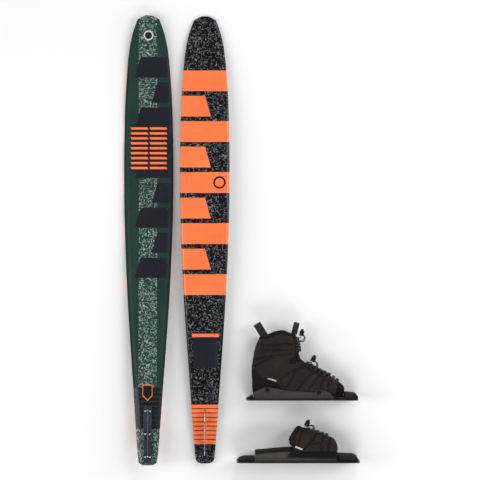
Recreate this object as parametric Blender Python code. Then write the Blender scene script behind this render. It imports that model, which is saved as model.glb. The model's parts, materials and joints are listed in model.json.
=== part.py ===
"""Slalom water ski pair with its two bindings, laid out flat on the floor.

Two skis of one model lie side by side, the first deck up on its fin, the second base up. Beside them a
high-top front boot and a rear toe plate lie on their left sides. Metres, +Z up, tips towards +Y.
Each ski is modelled in its own frame: X from tail to tip, Z up through the deck, base line at Z 0.
Each binding is modelled in its own frame: X towards the toe, Z up from the plate, Y to the left.
"""

import math

import bmesh
import bpy
from mathutils import Matrix, Vector

# ---- layout on the floor ----
SKI_A_X = -0.3524
SKI_B_X = -0.1380
TAIL_Y = -0.852
BOOT_AT = (0.0396, -0.603)
TOE_PLATE_AT = (-0.0173, -0.8374)
PLATE_HALF_WIDTH = 0.060

# ---- ski ----
LENGTH = 1.702
TAIL_RADIUS = 0.020
NOSE_START = 1.688
NOSE_HALF = 0.016
HALF_WIDTHS = (
    (0.00, 0.0350), (0.11, 0.0442), (0.28, 0.0560), (0.45, 0.0683), (0.62, 0.0795), (0.79, 0.0878),
    (0.96, 0.0930), (1.135, 0.0945), (1.305, 0.0920), (1.42, 0.0873), (1.533, 0.0785), (1.60, 0.0690),
    (1.647, 0.0570), (1.688, 0.0415),
)
THICKNESSES = ((0.25, 0.0173), (0.60, 0.0245), (0.90, 0.0235), (1.20, 0.0185), (1.50, 0.0118), (1.702, 0.0080))
ROCKER_START = 0.60
TAIL_RISE = 0.012
TIP_RISE = 0.085
FLAT_DECK_END = 0.25
FLAT_DECK_Z = 0.0215
TUNNEL_DEPTH = 0.004

# ---- fin, fin block and screws, in the ski's frame ----
GAP = 0.0003
FIN_THICK = 0.0020
FIN_DEPTH = 0.0635
FIN_TAB = (0.036, 0.204)
FIN_SLOT = (0.030, 0.210)
BLOCK = (0.0087, 0.2260)
BLOCK_HALF = 0.0150
BLOCK_HEIGHT = 0.0120
RECESS_DEPTH = 0.0040
SCREW_ROWS = (0.0315, 0.1176, 0.2040)
SCREW_Y = 0.0085
SHANK_R = 0.0024
HEAD_R = 0.0042

# ---- front boot, in its own frame ----
PLATE_THICK = 0.0040
SLOT_Y = 0.024
WALL = 0.008
BOOT_FLOOR = 0.0170
ANKLE = (0.080, 0.110)
ANKLE_RADIUS = 0.050
NOTCH_LOW = 18.0
NOTCH_HIGH = 35.0
SLOT_HALF = 0.021
TOE_CUT = 0.310
LACE_R = 0.0018
HEEL_LOOP_AT = (0.0415, 0.2500)
TONGUE_LOOP_AT = (0.1635, 0.2590)
# place and lean of each cord lock, the lean in degrees towards the toe
LOWER_LOCK = (0.2290, 0.1420, 25)
UPPER_LOCK = (0.1880, 0.2390, 10)
TOE_LOCK = (0.2620, 0.1325, 28)
# height, back, front, widest place, half width, squareness behind, squareness in front
BOOT_RINGS = (
    (0.0170, 0.006, 0.347, 0.245, 0.0440, 3.2, 2.2),
    (0.0300, 0.004, 0.351, 0.245, 0.0485, 3.2, 2.2),
    (0.0470, 0.002, 0.350, 0.238, 0.0490, 3.0, 2.2),
    (0.0620, 0.001, 0.336, 0.225, 0.0485, 2.8, 2.2),
    (0.0800, 0.000, 0.309, 0.190, 0.0470, 2.6, 2.0),
    (0.1000, 0.000, 0.275, 0.150, 0.0465, 2.5, 1.9),
    (0.1250, 0.002, 0.229, 0.110, 0.0470, 2.4, 1.9),
    (0.1450, 0.005, 0.192, 0.095, 0.0480, 2.3, 2.0),
    (0.1650, 0.009, 0.179, 0.092, 0.0500, 2.3, 2.1),
    (0.1900, 0.016, 0.175, 0.094, 0.0530, 2.3, 2.2),
    (0.2200, 0.027, 0.170, 0.098, 0.0575, 2.3, 2.2),
    (0.2600, 0.041, 0.158, 0.100, 0.0595, 2.3, 2.2),
)
CUFF_TOP = ((-0.05, 0.236), (0.0535, 0.240), (0.090, 0.2535), (0.123, 0.2573), (0.153, 0.2478), (0.30, 0.2440))
RAIL = ((0.0095, 0.0073), (0.0095, 0.0315), (0.045, 0.0480), (0.058, 0.0510), (0.071, 0.0480), (0.126, 0.0370),
        (0.236, 0.0295), (0.244, 0.0390), (0.2528, 0.0408), (0.264, 0.0390), (0.290, 0.0310), (0.312, 0.0073))
RAIL_INNER = 0.0500
RAIL_THICK = 0.0032
BOLTS = ((0.058, 0.040), (0.2528, 0.0307))
BOLT_R = 0.0030
BOLT_HEAD_R = 0.0085

# ---- rear toe plate, in its own frame ----
# length along the plate, top of the arch, half width
TOE_SECTIONS = (
    (0.196, 0.138, 0.0560), (0.227, 0.134, 0.0575), (0.260, 0.124, 0.0590), (0.298, 0.112, 0.0590),
    (0.330, 0.101, 0.0580), (0.360, 0.088, 0.0560), (0.3725, 0.080, 0.0540), (0.3795, 0.068, 0.0515),
)
TOE_WALL = 0.009
RISER_TOP = ((0.0694, 0.0310), (0.100, 0.0340), (0.205, 0.0420), (0.300, 0.0360), (0.376, 0.0250))

COLOURS = {
    "ski_green": ((0.03, 0.07, 0.05), 0.5, 0.0),
    "fin_metal": ((0.75, 0.76, 0.78), 0.3, 1.0),
    "block_black": ((0.05, 0.055, 0.07), 0.45, 0.6),
    "screw_steel": ((0.72, 0.70, 0.66), 0.25, 1.0),
    "plate_grey": ((0.09, 0.08, 0.075), 0.4, 0.6),
    "foam_black": ((0.02, 0.018, 0.016), 0.8, 0.0),
    "boot_fabric": ((0.035, 0.031, 0.028), 0.75, 0.0),
    "webbing_black": ((0.02, 0.018, 0.016), 0.85, 0.0),
    "lock_plastic": ((0.03, 0.028, 0.026), 0.4, 0.0),
}


# ---- small tools ----
def clear_scene():
    for old in list(bpy.data.objects):
        bpy.data.objects.remove(old)


def material(name):
    found = bpy.data.materials.get(name)
    if found:
        return found
    made = bpy.data.materials.new(name)
    made.use_nodes = True
    colour, roughness, metallic = COLOURS[name]
    shader = made.node_tree.nodes["Principled BSDF"]
    shader.inputs["Base Color"].default_value = (*colour, 1.0)
    shader.inputs["Roughness"].default_value = roughness
    shader.inputs["Metallic"].default_value = metallic
    return made


def place(name, mesh, parent, finish):
    """The object of this mesh under its parent empty, with one finish."""
    made = bpy.data.objects.new(name, mesh)
    bpy.context.scene.collection.objects.link(made)
    made.parent = parent
    if finish and not mesh.materials:
        mesh.materials.append(material(finish))
    return made


def finished(bm, name, smooth=False):
    bmesh.ops.recalc_face_normals(bm, faces=bm.faces)
    mesh = bpy.data.meshes.new(name)
    bm.to_mesh(mesh)
    bm.free()
    if smooth:
        mesh.shade_smooth()
        mesh.set_sharp_from_angle(angle=math.radians(40))
    return mesh


def frame(name, matrix):
    made = bpy.data.objects.new(name, None)
    bpy.context.scene.collection.objects.link(made)
    made.matrix_world = matrix
    return made


def hide(cutter):
    cutter.hide_render = True
    cutter.display_type = "WIRE"
    return cutter


def boolean(target, cutter, operation):
    modifier = target.modifiers.new(operation.lower(), "BOOLEAN")
    modifier.operation = operation
    modifier.solver = "EXACT"
    modifier.object = cutter


def add_loft(bm, rings):
    """Closed rings of equally many points joined one after the next, with both ends capped."""
    loops = [[bm.verts.new(point) for point in ring] for ring in rings]
    for lower, upper in zip(loops, loops[1:]):
        for i in range(len(lower)):
            bm.faces.new((lower[i - 1], lower[i], upper[i], upper[i - 1]))
    bm.faces.new(loops[0])
    bm.faces.new(loops[-1])


def add_prism(bm, outline, low, high, axis="Y"):
    """A flat outline drawn out between two places along one axis. The outline is (x, z), or (x, y) for Z."""
    points = [(a, low, b) if axis == "Y" else (a, b, low) for a, b in outline]
    face = bm.faces.new([bm.verts.new(point) for point in points])
    made = bmesh.ops.extrude_face_region(bm, geom=[face])
    moved = [g for g in made["geom"] if isinstance(g, bmesh.types.BMVert)]
    reach = Vector((0, high - low, 0)) if axis == "Y" else Vector((0, 0, high - low))
    bmesh.ops.translate(bm, verts=moved, vec=reach)


def add_cylinder(bm, at, direction, radius, length, segments=12, tip=None):
    """A cylinder or cone that starts at a point and runs along a direction."""
    turn = Vector((0, 0, 1)).rotation_difference(Vector(direction)).to_matrix().to_4x4()
    middle = Vector(at) + Vector(direction).normalized() * (length / 2)
    bmesh.ops.create_cone(bm, cap_ends=True, segments=segments, radius1=radius,
                          radius2=radius if tip is None else tip, depth=length,
                          matrix=Matrix.Translation(middle) @ turn)


def prism_object(name, outline, low, high, parent, finish=None, axis="Y"):
    bm = bmesh.new()
    add_prism(bm, outline, low, high, axis)
    return place(name, finished(bm, name), parent, finish)


def arc(centre, radius, start, end, steps):
    """Points of an arc, from one angle in degrees to another."""
    angles = [math.radians(start + (end - start) * i / steps) for i in range(steps + 1)]
    return [(centre[0] + radius * math.cos(a), centre[1] + radius * math.sin(a)) for a in angles]


def smooth_value(table, at):
    """A Catmull-Rom curve through the (place, value) pairs of a table."""
    at = min(max(at, table[0][0]), table[-1][0])
    i = max(k for k in range(len(table) - 1) if table[k][0] <= at)
    (x0, v0), (x1, v1) = table[i], table[i + 1]

    def slope(k):
        low, high = max(k - 1, 0), min(k + 1, len(table) - 1)
        return (table[high][1] - table[low][1]) / (table[high][0] - table[low][0])

    span = x1 - x0
    t = (at - x0) / span
    return (
        (2 * t**3 - 3 * t**2 + 1) * v0
        + (t**3 - 2 * t**2 + t) * span * slope(i)
        + (3 * t**2 - 2 * t**3) * v1
        + (t**3 - t**2) * span * slope(i + 1)
    )


# ---- the ski's own curves ----
def base_z(s):
    """Height of the base rims above the flat line, at a distance from the tail."""
    if s < ROCKER_START:
        return TAIL_RISE * ((ROCKER_START - s) / ROCKER_START) ** 2
    return TIP_RISE * ((s - ROCKER_START) / (LENGTH - ROCKER_START)) ** 2.2


def deck_z(s):
    return FLAT_DECK_Z if s < FLAT_DECK_END else base_z(s) + smooth_value(THICKNESSES, s)


def half_width(s):
    if s > NOSE_START:
        return HALF_WIDTHS[-1][1] + (NOSE_HALF - HALF_WIDTHS[-1][1]) * (s - NOSE_START) / (LENGTH - NOSE_START)
    rounding = TAIL_RADIUS - math.sqrt(TAIL_RADIUS**2 - max(TAIL_RADIUS - s, 0) ** 2)
    return smooth_value(HALF_WIDTHS, s) - rounding


def ski_section(s):
    """The ski's closed outline across, from the deck's edge round the base and back."""
    w, low, high = half_width(s), base_z(s), deck_z(s)
    thick, k = high - low, min(1.0, half_width(s) / 0.05)
    tunnel = TUNNEL_DEPTH * min(1.0, thick / 0.016) * k
    side = [
        (w - 0.021 * k, high), (w - 0.009 * k, low + 0.86 * thick), (w - 0.0012 * k, low + 0.56 * thick),
        (w, low + 0.36 * thick), (w - 0.007 * k, low), (w - 0.015 * k, low), (w - 0.027 * k, low + 0.55 * tunnel),
        (0.36 * w, low + 0.92 * tunnel),
    ]
    return [(s, y, z) for y, z in side] + [(s, 0.0, low + tunnel)] + [(s, -y, z) for y, z in reversed(side)]


def blade_mesh():
    tail = [TAIL_RADIUS * (1 - math.cos(math.radians(a))) for a in (0, 18, 36, 54, 72, 90)]
    body = [0.06 + 0.0585 * i for i in range(27)]
    nose = [1.618, 1.650, 1.672, NOSE_START, LENGTH]
    bm = bmesh.new()
    add_loft(bm, [ski_section(s) for s in tail + body + nose])
    return finished(bm, "ski_blade", smooth=True)


def blade_cutter_mesh():
    """The fin slot and the holes for the block's screws."""
    bm = bmesh.new()
    half = FIN_THICK / 2 + 2 * GAP
    slot = [(FIN_SLOT[0], -half), (FIN_SLOT[1], -half), (FIN_SLOT[1], half), (FIN_SLOT[0], half)]
    add_prism(bm, slot, -0.02, 0.05, axis="Z")
    for s in SCREW_ROWS:
        for side in (-1, 1):
            add_cylinder(bm, (s, side * SCREW_Y, FLAT_DECK_Z - 0.0088), (0, 0, 1), SHANK_R + GAP, 0.03, 8)
    return finished(bm, "blade_cutter")


def fin_outline():
    """The fin from the side: a straight tab clamped in the block, a raked leading edge and a rounded heel."""
    low = base_z(0.1) - FIN_DEPTH
    lead = [(FIN_TAB[1] - 0.106 * (1 - math.cos(a)), 0.006 + (low - 0.006) * math.sin(a))
            for a in [math.radians(10 * i) for i in range(10)]]
    heel = arc((FIN_TAB[0] + 0.020, low + 0.018), 0.018, 270, 190, 5)
    return [(FIN_TAB[0], 0.0310), (FIN_TAB[1], 0.0310)] + lead + heel + [(FIN_TAB[0] + 0.001, 0.0)]


def fin_mesh():
    bm = bmesh.new()
    add_prism(bm, fin_outline(), -FIN_THICK / 2, FIN_THICK / 2)
    return finished(bm, "fin")


def block_half_mesh(side):
    """One clamp half of the fin block, on the left (1) or right (-1) of the fin."""
    inner, low = FIN_THICK / 2 + GAP, FLAT_DECK_Z + GAP
    radius = BLOCK_HALF - inner
    ends = arc((BLOCK[1] - radius, inner), radius, 0, 90, 5) + arc((BLOCK[0] + radius, inner), radius, 90, 180, 5)
    outline = [(x, side * y) for x, y in ends]
    bm = bmesh.new()
    add_prism(bm, outline, low, low + BLOCK_HEIGHT, axis="Z")
    return finished(bm, f"block_half_{side}")


def stadium(x, y, half_length, half_wide):
    run = half_length - half_wide
    return arc((x + run, y), half_wide, -90, 90, 5) + arc((x - run, y), half_wide, 90, 270, 5)


def block_cutter_mesh(side):
    """A slot for each screw's shank, with a wider recess above it for the head."""
    top = FLAT_DECK_Z + GAP + BLOCK_HEIGHT
    bm = bmesh.new()
    for s in SCREW_ROWS:
        slot = stadium(s, side * SCREW_Y, 0.0075, 0.0028)
        recess = stadium(s, side * SCREW_Y, 0.0100, 0.0048)
        levels = ((slot, 0.01), (slot, top - RECESS_DEPTH), (recess, top - RECESS_DEPTH), (recess, top + 0.01))
        add_loft(bm, [[(x, y, z) for x, y in outline] for outline, z in levels])
    return finished(bm, f"block_cutter_{side}")


def screw_mesh():
    """A block screw: a shank in the ski and a domed head in the block's recess."""
    seat = FLAT_DECK_Z + GAP + BLOCK_HEIGHT - RECESS_DEPTH + GAP
    foot = FLAT_DECK_Z - 0.0080
    profile = [(SHANK_R, foot), (SHANK_R, seat), (HEAD_R, seat), (HEAD_R, seat + 0.0022), (HEAD_R * 0.7, seat + 0.0036)]
    bm = bmesh.new()
    add_loft(bm, [[(r * math.cos(a), r * math.sin(a), z) for a in [math.radians(36 * i) for i in range(10)]]
                  for r, z in profile])
    return finished(bm, "block_screw", smooth=True)


def build_ski(tag, parent, shared):
    """One ski with its fin, fin block and screws. shared holds the meshes that both skis use."""
    blade = place(f"ski_{tag}_blade", shared["blade"], parent, "ski_green")
    boolean(blade, hide(place(f"cut_{tag}_blade", shared["blade_cutter"], parent, None)), "DIFFERENCE")
    place(f"ski_{tag}_fin", shared["fin"], parent, "fin_metal")
    for word, side in (("left", 1), ("right", -1)):
        half = place(f"ski_{tag}_fin_block_{word}", shared[f"half_{side}"], parent, "block_black")
        boolean(half, hide(place(f"cut_{tag}_{word}", shared[f"half_cutter_{side}"], parent, None)), "DIFFERENCE")
        for row, s in enumerate(SCREW_ROWS, start=1):
            screw = place(f"ski_{tag}_block_screw_{word}_{row}", shared["screw"], parent, "screw_steel")
            screw.location = (s, side * SCREW_Y, 0)


def ski_meshes():
    made = {"blade": blade_mesh(), "blade_cutter": blade_cutter_mesh(), "fin": fin_mesh(), "screw": screw_mesh()}
    for side in (1, -1):
        made[f"half_{side}"] = block_half_mesh(side)
        made[f"half_cutter_{side}"] = block_cutter_mesh(side)
    return made


# ---- how each ski rests on the floor ----
def rest_pitch(points, middle):
    """Pitch and drop that put the lowest point behind the middle and the lowest in front of it on the floor."""
    def low(group, pitch):
        return min(z * math.cos(pitch) + x * math.sin(pitch) for x, z in group)

    rear = [p for p in points if p[0] < middle]
    front = [p for p in points if p[0] >= middle]
    left, right = -0.3, 0.3
    for _ in range(60):
        pitch = (left + right) / 2
        if low(rear, pitch) > low(front, pitch):
            left = pitch
        else:
            right = pitch
    return pitch, low(rear, pitch)


def ski_a_matrix():
    """Deck up: the ski stands on its fin and on its base near the front."""
    stations = [LENGTH * i / 200 for i in range(201)]
    points = [(s, base_z(s)) for s in stations] + fin_outline()
    pitch, drop = rest_pitch(points, LENGTH / 2)
    turn = Matrix.Rotation(math.radians(90), 4, "Z") @ Matrix.Rotation(-pitch, 4, "Y")
    return Matrix.Translation((SKI_A_X, TAIL_Y, -drop)) @ turn


def ski_b_matrix():
    """Base up: the ski lies on its tip and on one end of its fin block."""
    points = [(LENGTH * i / 200, -deck_z(LENGTH * i / 200)) for i in range(201)]
    points += [(s, -(FLAT_DECK_Z + GAP + BLOCK_HEIGHT)) for s in BLOCK]
    pitch, drop = rest_pitch(points, LENGTH / 2)
    over = Matrix.Rotation(math.radians(180), 4, "X")
    turn = Matrix.Rotation(math.radians(90), 4, "Z") @ Matrix.Rotation(-pitch, 4, "Y") @ over
    return Matrix.Translation((SKI_B_X, TAIL_Y, -drop)) @ turn


def on_its_side(at):
    """A binding's frame, turned on its left side: its toe to +X and its top to +Y."""
    return Matrix.Translation((*at, PLATE_HALF_WIDTH)) @ Matrix.Rotation(math.radians(-90), 4, "X")


# ---- front boot ----
def boot_ring(row, inset, steps=24):
    """One level outline of the boot: two half super-ellipses that meet at the widest place."""
    z, back, front, wide_at, half, rear_power, front_power = row
    points = []
    for i in range(steps):
        a = 2 * math.pi * i / steps
        c, s = math.cos(a), math.sin(a)
        power = front_power if c >= 0 else rear_power
        reach = (front - inset - wide_at) if c >= 0 else (wide_at - back - inset)
        x = wide_at + math.copysign(abs(c) ** (2 / power), c) * reach
        y = math.copysign(abs(s) ** (2 / power), s) * (half - inset)
        points.append((x, y, z))
    return points


def boot_shell_mesh():
    bm = bmesh.new()
    add_loft(bm, [boot_ring(row, 0.0) for row in BOOT_RINGS])
    return finished(bm, "boot_shell", smooth=True)


def boot_hollow_mesh():
    """The room for the foot and leg, open at the top."""
    rings = [boot_ring((BOOT_FLOOR + WALL, *BOOT_RINGS[1][1:]), WALL)]
    rings += [boot_ring(row, WALL) for row in BOOT_RINGS[2:]]
    rings.append([(x, y, 0.300) for x, y, _ in rings[-1]])
    bm = bmesh.new()
    add_loft(bm, rings)
    return finished(bm, "boot_hollow")


def ray(angle, reach):
    a = math.radians(angle)
    return (ANKLE[0] + reach * math.cos(a), ANKLE[1] + reach * math.sin(a))


def lower_region():
    """Side outline of everything below the ankle cut and behind the toe cut."""
    dome = arc(ANKLE, ANKLE_RADIUS, 180, NOTCH_LOW, 10)
    toe = [(TOE_CUT + 0.020, 0.10), (TOE_CUT - 0.006, 0.0)]
    return [(-0.05, 0.0), (-0.05, ANKLE[1])] + dome + [ray(NOTCH_LOW, 0.20), (TOE_CUT + 0.020, 0.17)] + toe


def cuff_region():
    """Side outline of everything above the ankle cut and under the sloping top edge."""
    dome = arc(ANKLE, ANKLE_RADIUS + 0.001, NOTCH_HIGH, 180, 8)
    rear = [(-0.05, ANKLE[1] + 0.0006)]
    return [ray(NOTCH_HIGH, 0.20)] + dome + rear + list(CUFF_TOP)


def boot_part(name, parent, meshes, region, slot_sign, finish="boot_fabric"):
    """A piece of the boot's wall: inside a side outline, and beside (1) or within (-1) the lacing slot."""
    shell = place(name, meshes["shell"].copy(), parent, finish)
    boolean(shell, meshes["hollow"], "DIFFERENCE")
    cutter = hide(prism_object(f"region_{name}", region, -0.2, 0.2, parent))
    boolean(shell, cutter, "INTERSECT")
    boolean(shell, meshes["slot" if slot_sign > 0 else "tongue"], "DIFFERENCE" if slot_sign > 0 else "INTERSECT")
    return shell


def build_boot_upper(parent):
    meshes = {"shell": boot_shell_mesh()}
    meshes["hollow"] = hide(place("cut_boot_hollow", boot_hollow_mesh(), parent, None))
    slot = [(0.105, 0.068), (0.300, 0.068), (0.300, 0.30), (0.105, 0.30)]
    meshes["slot"] = hide(prism_object("cut_boot_slot", slot, -SLOT_HALF, SLOT_HALF, parent))
    inside = SLOT_HALF - 0.0006
    tongue = [(0.1056, 0.0686), (0.2994, 0.0686), (0.2994, 0.30), (0.1056, 0.30)]
    meshes["tongue"] = hide(prism_object("cut_boot_tongue", tongue, -inside, inside, parent))
    boot_part("boot_lower", parent, meshes, lower_region(), 1)
    boot_part("boot_cuff", parent, meshes, cuff_region(), 1)
    boot_part("boot_tongue_lower", parent, meshes, lower_region(), -1, "foam_black")
    raised = [(x, z + 0.006) if x > -0.04 and z > 0.2 else (x, z) for x, z in cuff_region()]
    boot_part("boot_tongue_upper", parent, meshes, raised, -1, "foam_black")
    toe = [(TOE_CUT + 0.0204, 0.10), (TOE_CUT - 0.0056, 0.0), (0.40, 0.0), (0.40, 0.10)]
    toe_liner = place("boot_liner_toe", meshes["shell"].copy(), parent, "foam_black")
    boolean(toe_liner, meshes["hollow"], "DIFFERENCE")
    boolean(toe_liner, hide(prism_object("region_toe", toe, -0.2, 0.2, parent)), "INTERSECT")
    bolt_holes = bmesh.new()
    for x, z in BOLTS:
        add_cylinder(bolt_holes, (x, -0.1, z), (0, 1, 0), BOLT_R + GAP, 0.2, 10)
    holes = hide(place("cut_boot_bolts", finished(bolt_holes, "boot_bolt_holes"), parent, None))
    boolean(bpy.data.objects["boot_lower"], holes, "DIFFERENCE")
    return holes


def plate_object(name, start, end, parent, slot_rows):
    """A flat mounting plate with round ends and slots for the screws that hold it to a ski."""
    corner = 0.020
    half = PLATE_HALF_WIDTH - corner
    outline = (arc((end - corner, half), corner, 0, 90, 4) + arc((start + corner, half), corner, 90, 180, 4)
               + arc((start + corner, -half), corner, 180, 270, 4) + arc((end - corner, -half), corner, 270, 360, 4))
    plate = prism_object(name, outline, 0.0, PLATE_THICK, parent, "plate_grey", axis="Z")
    bm = bmesh.new()
    for x in slot_rows:
        for side in (-1, 1):
            add_prism(bm, stadium(x, side * SLOT_Y, 0.011, 0.0034), -0.01, 0.01, axis="Z")
    boolean(plate, hide(place(f"cut_{name}", finished(bm, f"{name}_slots"), parent, None)), "DIFFERENCE")
    return plate


def side_rail(name, outline, side, parent, bolt_holes):
    """A bent side rail: an upright wall beside the boot and a flange on the plate."""
    low, inner, outer = PLATE_THICK + GAP, side * RAIL_INNER, side * (RAIL_INNER + RAIL_THICK)
    rail = prism_object(name, outline, min(inner, outer), max(inner, outer), parent, "plate_grey")
    start, end = outline[0][0] + 0.004, outline[-1][0] - 0.004
    foot = [(start, low), (end, low), (end, 0.0080), (start, 0.0080)]
    flange_in = side * (RAIL_INNER - 0.016)
    flange_out = side * (RAIL_INNER + RAIL_THICK - 0.0002)
    flange = prism_object(f"flange_{name}", foot, min(flange_in, flange_out), max(flange_in, flange_out), parent)
    boolean(rail, hide(flange), "UNION")
    if bolt_holes:
        boolean(rail, bolt_holes, "DIFFERENCE")
    return rail


def bolt_mesh(side):
    """A side bolt: a shank through rail and boot wall, and a round button head with a socket."""
    seat = RAIL_INNER + RAIL_THICK + GAP
    bm = bmesh.new()
    profile = [(BOLT_R, 0.0425), (BOLT_R, seat), (BOLT_HEAD_R, seat), (BOLT_HEAD_R, seat + 0.003),
               (BOLT_HEAD_R * 0.72, seat + 0.0052), (0.0035, seat + 0.0052), (0.0030, seat + 0.0022)]
    add_loft(bm, [[(r * math.cos(a), side * y, r * math.sin(a)) for a in [math.radians(30 * i) for i in range(12)]]
                  for r, y in profile])
    return finished(bm, f"side_bolt_{side}", smooth=True)


def strap_loop(name, parent, foot, lean, width, height, half_gap, finish="webbing_black"):
    """A pull loop of webbing that straddles the boot: two legs joined by a round top."""
    thick = 0.0022
    round_at = height - half_gap
    outside = [(-half_gap - thick, 0.0)] + [(y, z + round_at) for y, z in arc((0, 0), half_gap + thick, 180, 0, 8)]
    outside.append((half_gap + thick, 0.0))
    inside = [(half_gap, 0.0)] + [(y, z + round_at) for y, z in arc((0, 0), half_gap, 0, 180, 8)] + [(-half_gap, 0.0)]
    a = math.radians(lean)
    along, across = Vector((math.sin(a), 0, math.cos(a))), Vector((math.cos(a), 0, -math.sin(a)))
    rings = []
    for offset in (-width / 2, width / 2):
        base = Vector((foot[0], 0, foot[1])) + across * offset
        rings.append([base + Vector((0, y, 0)) + along * z for y, z in outside + inside])
    bm = bmesh.new()
    add_loft(bm, rings)
    return place(name, finished(bm, name), parent, finish)


def cord_tube(name, points, parent, radius=LACE_R):
    """A round lace through its own points, as a smooth tube with closed ends."""
    curve = bpy.data.curves.new(name, "CURVE")
    curve.dimensions = "3D"
    curve.bevel_depth = radius
    curve.bevel_resolution = 2
    curve.use_fill_caps = True
    spline = curve.splines.new("POLY")
    smooth = catmull(points, 3)
    spline.points.add(len(smooth) - 1)
    for point, at in zip(spline.points, smooth):
        point.co = (*at, 1.0)
    return place(name, curve, parent, "webbing_black")


def catmull(points, steps):
    """Points of a smooth curve through the given ones, the ends included."""
    padded = [points[0], *points, points[-1]]
    made = []
    for i in range(1, len(padded) - 2):
        a, b, c, d = (Vector(p) for p in padded[i - 1:i + 3])
        for k in range(steps):
            t = k / steps
            made.append(0.5 * (2 * b + (c - a) * t + (2 * a - 5 * b + 4 * c - d) * t**2 + (3 * b - a - 3 * c + d) * t**3))
    return [*made, Vector(points[-1])]


def zigzag(places, half):
    """Lacing that crosses from side to side while it climbs through the given (x, z) places."""
    return [(x, half if i % 2 else -half, z) for i, (x, z) in enumerate(places)]


def cord_lock(name, parent, place_and_lean):
    """A spring cord lock: a barrel with a bore, and the button that slides in it."""
    x, z, lean = place_and_lean
    turn = Matrix.Translation((x, 0, z)) @ Matrix.Rotation(math.radians(lean), 4, "Y")
    half, tall, bore, deep = 0.0088, 0.0200, 0.0056, 0.0140
    bm = bmesh.new()
    square = [(half, -half), (half, half), (-half, half), (-half, -half)]
    add_prism(bm, square, 0.0, tall, axis="Z")
    upright = [e for e in bm.edges if abs(e.verts[0].co.z - e.verts[1].co.z) > tall / 2]
    bmesh.ops.bevel(bm, geom=upright, offset=0.003, segments=2, profile=0.5, affect="EDGES", material=-1)
    body = place(f"{name}_body", finished(bm, f"{name}_body"), parent, "lock_plastic")
    body.matrix_local = turn
    bm = bmesh.new()
    add_cylinder(bm, (0, 0, tall - deep), (0, 0, 1), bore, deep + 0.01, 12)
    cutter = hide(place(f"cut_{name}", finished(bm, f"{name}_bore"), parent, None))
    cutter.matrix_local = turn
    boolean(body, cutter, "DIFFERENCE")
    bm = bmesh.new()
    low = tall - deep + 0.0050
    profile = [(bore - GAP, low), (bore - GAP, tall + 0.0052), (bore - 0.0018, tall + 0.0068)]
    add_loft(bm, [[(r * math.cos(a), r * math.sin(a), z) for a in [math.radians(30 * i) for i in range(12)]]
                  for r, z in profile])
    button = place(f"{name}_button", finished(bm, f"{name}_button", smooth=True), parent, "lock_plastic")
    button.matrix_local = turn


def build_boot(parent):
    bolt_holes = build_boot_upper(parent)
    plate_object("boot_plate", -0.0205, 0.4010, parent, (0.060, 0.285))
    for word, side in (("left", 1), ("right", -1)):
        side_rail(f"boot_rail_{word}", RAIL, side, parent, bolt_holes)
        for end, (x, z) in zip(("rear", "front"), BOLTS):
            bolt = place(f"boot_side_bolt_{end}_{word}", bolt_mesh(side), parent, "webbing_black")
            bolt.location = (x, 0, z)
    sole = [(0.006, 0.0083), (0.340, 0.0083), (0.340, BOOT_FLOOR - GAP), (0.006, BOOT_FLOOR - GAP)]
    prism_object("boot_footbed", sole, -0.046, 0.046, parent, "foam_black")
    low = PLATE_THICK + GAP
    ramp = [(0.3530, low), (0.3990, low), (0.3990, 0.0140), (0.3960, 0.0195), (0.3880, 0.0225), (0.3620, 0.0255),
            (0.3530, 0.0260)]
    prism_object("boot_toe_pad", ramp, -0.048, 0.048, parent, "foam_black")
    wedge = [(-0.0190, low), (0.0050, low), (0.0050, 0.0150), (0.0010, 0.0150), (-0.0110, 0.0070)]
    prism_object("boot_heel_wedge", wedge, -0.036, 0.036, parent, "foam_black")
    strap_loop("boot_heel_loop", parent, HEEL_LOOP_AT, -32, 0.029, 0.040, 0.017)
    strap_loop("boot_tongue_loop", parent, TONGUE_LOOP_AT, 14, 0.021, 0.030, 0.014)
    lower = [(0.2950, 0.0960), (0.2780, 0.1040), (0.2600, 0.1130), (0.2430, 0.1220), (0.2270, 0.1310), (0.2120, 0.1390)]
    cord_tube("boot_lace_lower", zigzag(lower, 0.017) + [(0.2271, 0.0, 0.1379)], parent)
    upper = [(0.1840, 0.1860), (0.1830, 0.1970), (0.1810, 0.2080), (0.1790, 0.2190), (0.1760, 0.2300)]
    cord_tube("boot_lace_upper", zigzag(upper, 0.018) + [(0.1865, 0.0, 0.2345)], parent)
    cord_lock("boot_lock_lower", parent, LOWER_LOCK)
    cord_lock("boot_lock_upper", parent, UPPER_LOCK)


# ---- rear toe plate ----
def arch_ring(x, top, half, inset, foot):
    """One upright outline of the toe cover's arch: two straight sides and a round top."""
    half, top = half - inset, top - inset
    points = [(x, -half, foot)]
    points += [(x, half * math.cos(a),
                foot + 0.012 + (top - foot - 0.012) * math.sin(a) ** 0.8)
               for a in [math.pi - math.pi * i / 12 for i in range(13)]]
    return points + [(x, half, foot)]


def build_toe_cover(parent):
    """The padded cover over the toes: an arch open behind and in front, with a raked rear edge."""
    foot = 0.0440
    bm = bmesh.new()
    add_loft(bm, [arch_ring(x, top, half, 0.0, foot) for x, top, half in TOE_SECTIONS])
    cover = place("toe_cover", finished(bm, "toe_cover", smooth=True), parent, "boot_fabric")
    inner = [(0.180, *TOE_SECTIONS[0][1:])] + list(TOE_SECTIONS[1:-1]) + [(0.395, *TOE_SECTIONS[-1][1:])]
    bm = bmesh.new()
    add_loft(bm, [arch_ring(x, top, half, TOE_WALL, foot - 0.01) for x, top, half in inner])
    boolean(cover, hide(place("cut_toe_hollow", finished(bm, "toe_hollow"), parent, None)), "DIFFERENCE")
    rake = [(0.150, 0.0), (0.2160, 0.0), (0.2160, 0.0600), (0.1985, 0.0700), (0.1985, 0.0800), (0.2270, 0.1330),
            (0.2290, 0.1600), (0.150, 0.1600)]
    boolean(cover, hide(prism_object("cut_toe_rake", rake, -0.1, 0.1, parent)), "DIFFERENCE")


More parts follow.
